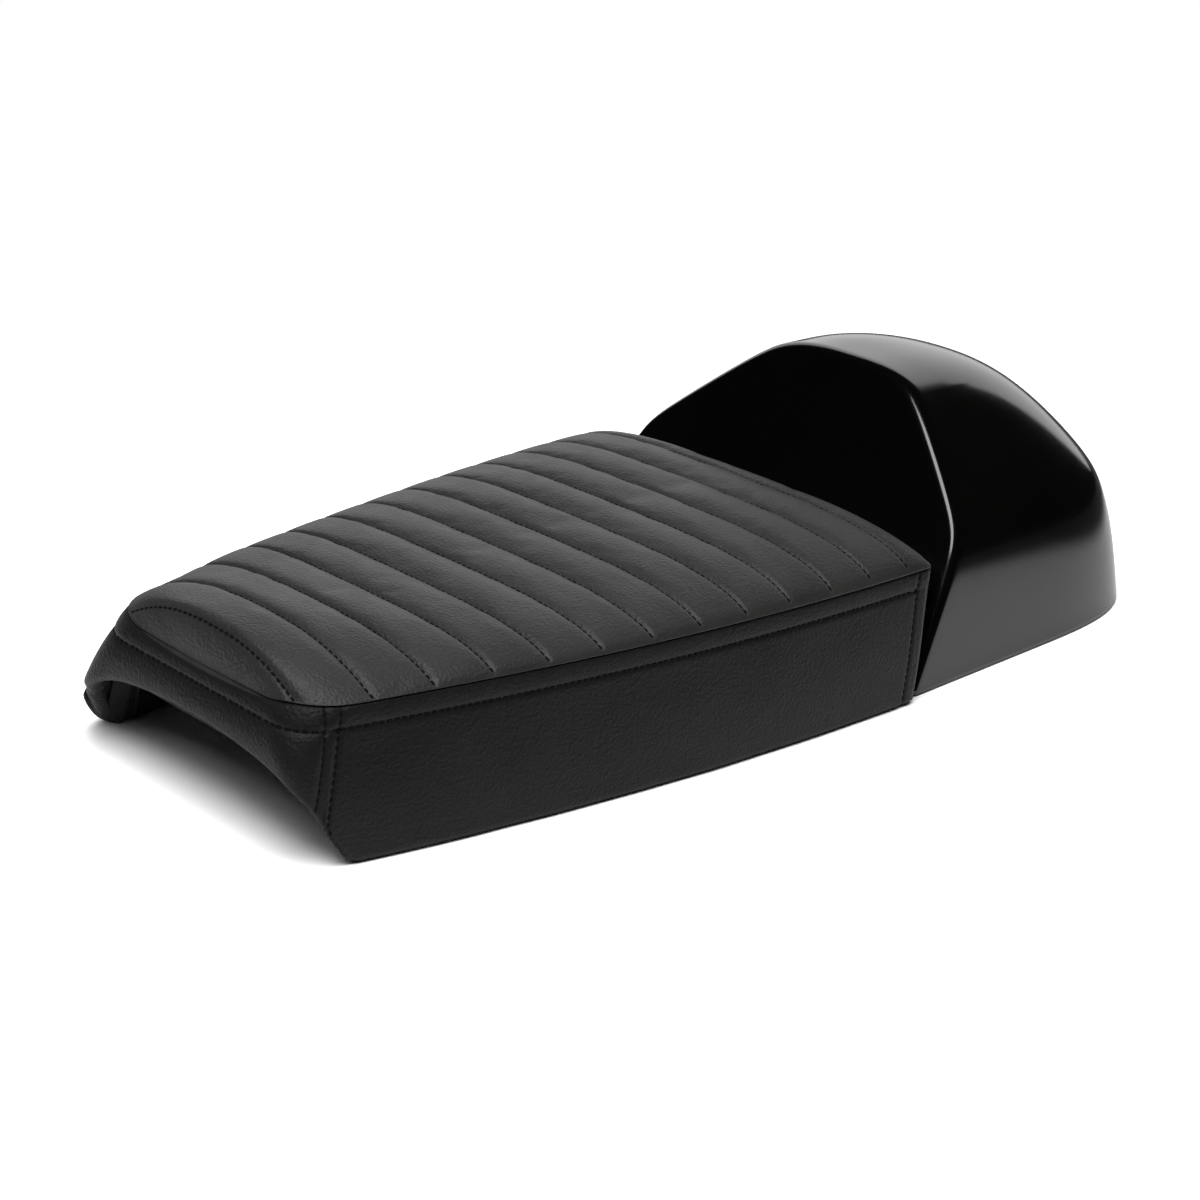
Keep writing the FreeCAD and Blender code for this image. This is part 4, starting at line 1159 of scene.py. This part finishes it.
def cowl_spot(column, height):
    kind, share, side = column
    if kind == "tail":
        return cowl_tail(share, height)
    edge = spot(COWL_FRONT + height * COWL_LEAN, side * cowl_half(height), height)
    centre = spot(COWL_FRONT + WALL_CENTRE_HEIGHT * COWL_LEAN, 0, WALL_CENTRE_HEIGHT)
    behind = edge + Vector((RIM_RADIUS * MM, 0, 0))
    inside = edge + (centre - edge).normalized() * RIM_RADIUS * MM
    if kind == "side":
        return behind.lerp(cowl_tail(math.copysign(math.pi / 2, side), height), share)
    if kind == "rim":
        return behind.lerp(edge, share).lerp(edge.lerp(inside, share), share)
    middle = Vector((inside.x, 0, inside.z))
    return middle.lerp(inside, share)


print("cowl grid:", len(cowl_columns), "columns by", len(cowl_heights), "rows")

# %% [markdown]
# The grid becomes the skin. Rows that meet on the crown are merged, and a doorway is cut low in the front
# wall, where the pan's tray runs in under the cowl. Solidify then gives the skin the wall of a moulding,
# inwards, so that the outside stays where it was drawn.

# %% Cowl skin
DOOR_HALF = 105.0
DOOR_TOP = 48.7
COWL_WALL = 3.5
COWL_INSIDE = spot(480, 0, 40)
MERGE_WITHIN = 0.02
ON_WALL_WITHIN = 0.1


def cut_doorway(bm):
    lean_normal = Vector((1, 0, -COWL_LEAN)).normalized()
    foot = spot(COWL_FRONT, 0, 0)
    doorway = []
    for face in bm.faces:
        middle = face.calc_center_median()
        on_wall = abs((middle - foot).dot(lean_normal)) < ON_WALL_WITHIN * MM
        if on_wall and middle.z < DOOR_TOP * MM and abs(middle.y) < DOOR_HALF * MM:
            doorway.append(face)
    bmesh.ops.delete(bm, geom=doorway, context="FACES")


def make_cowl():
    bm = placed_grid(cowl_columns, cowl_heights, cowl_spot)
    bmesh.ops.remove_doubles(bm, verts=bm.verts[:], dist=MERGE_WITHIN * MM)
    cut_doorway(bm)
    face_out(bm, COWL_INSIDE)
    piece = add_piece("tail_cowl_skin", bm, gloss, "cowl_gloss", "tail_cowl")
    smooth_once(piece)
    wall_depth = piece.modifiers.new("moulding_wall", "SOLIDIFY")
    wall_depth.thickness = COWL_WALL * MM
    wall_depth.offset = -1


make_cowl()

# %% [markdown]
# Inside the cowl four posts stand on the pan's tray and hold brass inserts, so that bolts from below can
# hold the cowl. They are plain cylinders, which stop low enough to stay behind the leaning front wall.

# %% Cowl posts
POST_RADIUS = 10.0
POST_FOOT = 45.4
POST_TOP = 76.0
POST_STATIONS = (415.3, 505.3)
POST_SIDE = 62.0
POST_SEGMENTS = 32


def make_posts():
    bm = bmesh.new()
    for station in POST_STATIONS:
        for side in (-POST_SIDE, POST_SIDE):
            place = Matrix.Translation(spot(station, side, (POST_FOOT + POST_TOP) / 2))
            bmesh.ops.create_cone(bm, cap_ends=True, segments=POST_SEGMENTS, radius1=POST_RADIUS * MM,
                                  radius2=POST_RADIUS * MM, depth=(POST_TOP - POST_FOOT) * MM, matrix=place)
    add_piece("cowl_posts", bm, gloss, "cowl_gloss", "tail_cowl")


make_posts()

# %% [markdown]
# The seat stands on a white studio floor. The camera sees white everywhere, but to everything else the floor
# is white only within about half a metre and almost black beyond, with a dark room round it: the white floor
# shines into the lower walls, and what faces the dark room stays black. From below the floor is clear, so
# that the underside can be looked at.

# %% Floor
FLOOR_RADIUS = 1.3
FLOOR_SEGMENTS = 96
FLOOR_ROUGHNESS = 0.7
SEEN_WHITE = 1.45
WHITE_REACH = (0.5, 0.6)
NEAR_WHITE = 0.86
FAR_DARK = 0.03


def mixed(tree, share, first, second):
    """A shader that goes from the first to the second as a share rises."""
    mix = tree.nodes.new("ShaderNodeMixShader")
    tree.links.new(share, mix.inputs["Fac"])
    tree.links.new(first, mix.inputs[1])
    tree.links.new(second, mix.inputs[2])
    return mix.outputs["Shader"]


def floor_finish():
    made, tree, shader, place = new_finish("studio_floor")
    reach = tree.nodes.new("ShaderNodeVectorMath")
    reach.operation = "LENGTH"
    tree.links.new(place, reach.inputs[0])
    # Away from the camera the floor's colour falls with distance, from white within half a metre to almost
    # black beyond, which also dims the light that the floor throws back onto the walls.
    white_fade = tree.nodes.new("ShaderNodeValToRGB")
    for stop, position, level in zip(white_fade.color_ramp.elements, WHITE_REACH, (NEAR_WHITE, FAR_DARK)):
        stop.position = position
        stop.color = (level, level, level, 1)
    tree.links.new(reach.outputs["Value"], white_fade.inputs["Fac"])
    tree.links.new(white_fade.outputs["Color"], shader.inputs["Base Color"])
    shader.inputs["Roughness"].default_value = FLOOR_ROUGHNESS
    paper = tree.nodes.new("ShaderNodeBsdfDiffuse")
    paper.inputs["Color"].default_value = (SEEN_WHITE, SEEN_WHITE, SEEN_WHITE, 1)
    seen = tree.nodes.new("ShaderNodeLightPath")
    below = tree.nodes.new("ShaderNodeNewGeometry")
    clear = tree.nodes.new("ShaderNodeBsdfTransparent")
    white = mixed(tree, seen.outputs["Is Camera Ray"], shader.outputs["BSDF"], paper.outputs["BSDF"])
    one_sided = mixed(tree, below.outputs["Backfacing"], white, clear.outputs["BSDF"])
    tree.links.new(one_sided, tree.nodes["Material Output"].inputs["Surface"])
    return made


def make_floor():
    bm = bmesh.new()
    bmesh.ops.create_circle(bm, cap_ends=True, segments=FLOOR_SEGMENTS, radius=FLOOR_RADIUS)
    data = bpy.data.meshes.new("studio_floor")
    bm.to_mesh(data)
    bm.free()
    floor = bpy.data.objects.new("studio_floor", data)
    bpy.context.scene.collection.objects.link(floor)
    dress(floor, floor_finish())


make_floor()
print("floor", 2 * FLOOR_RADIUS, "m across, white to reflections within", WHITE_REACH[0], "m")

# %% [markdown]
# Four soft lamps light the seat. A wide one behind it lies on the cowl as one bright patch, and a small one
# draws the highlight along the rim. The ceiling and the front lamp only fill, so reflections don't see them:
# a large lamp mirrored in black vinyl would turn it grey.

# %% Lights
AIM = Vector((0.0, 0.0, 0.05))
LAMPS = {
    "back_softbox": {"size": (2.5, 1.4), "power": 12.5, "at": (1.34, 1.08, 0.72), "mirrored": True},
    "ceiling_softbox": {"size": (1.5, 1.5), "power": 21.0, "at": (-0.1, -0.1, 1.6), "mirrored": False},
    "small_softbox": {"size": (0.5, 0.9), "power": 9.0, "at": (-0.6, -0.25, 1.3), "mirrored": True},
    "front_softbox": {"size": (0.9, 0.6), "power": 2.4, "at": (-0.95, -0.1, 1.1), "mirrored": False},
}


def softbox(name, size, power, at, mirrored):
    """A soft lamp aimed at the seat, which gloss mirrors or, behind a grid, does not."""
    data = bpy.data.lights.new(name, "AREA")
    data.shape = "RECTANGLE"
    data.size, data.size_y = size
    data.energy = power
    lamp = bpy.data.objects.new(name, data)
    lamp.location = at
    lamp.rotation_euler = (AIM - Vector(at)).to_track_quat("-Z", "Y").to_euler()
    lamp.visible_camera = False
    lamp.visible_glossy = mirrored
    bpy.context.scene.collection.objects.link(lamp)


for name, lamp in LAMPS.items():
    softbox(name, **lamp)
print("lamps:", ", ".join(LAMPS))

# %% [markdown]
# The room behind the floor is the world. The camera sees it white, and everything else sees it almost
# black, so that it adds next to no light of its own.

# %% Room
ROOM_LEVEL = 0.01


def make_room():
    world = bpy.data.worlds.new("studio_room")
    bpy.context.scene.world = world
    world.use_nodes = True
    tree = world.node_tree
    white = tree.nodes["Background"]
    white.inputs["Color"].default_value = (1, 1, 1, 1)
    dim = tree.nodes.new("ShaderNodeBackground")
    dim.inputs["Color"].default_value = (ROOM_LEVEL, ROOM_LEVEL, ROOM_LEVEL, 1)
    seen = tree.nodes.new("ShaderNodeLightPath")
    room = mixed(tree, seen.outputs["Is Camera Ray"], dim.outputs["Background"], white.outputs["Background"])
    tree.links.new(room, tree.nodes["World Output"].inputs["Surface"])


make_room()
bpy.context.scene.view_settings.view_transform = "Standard"
print("stage set")
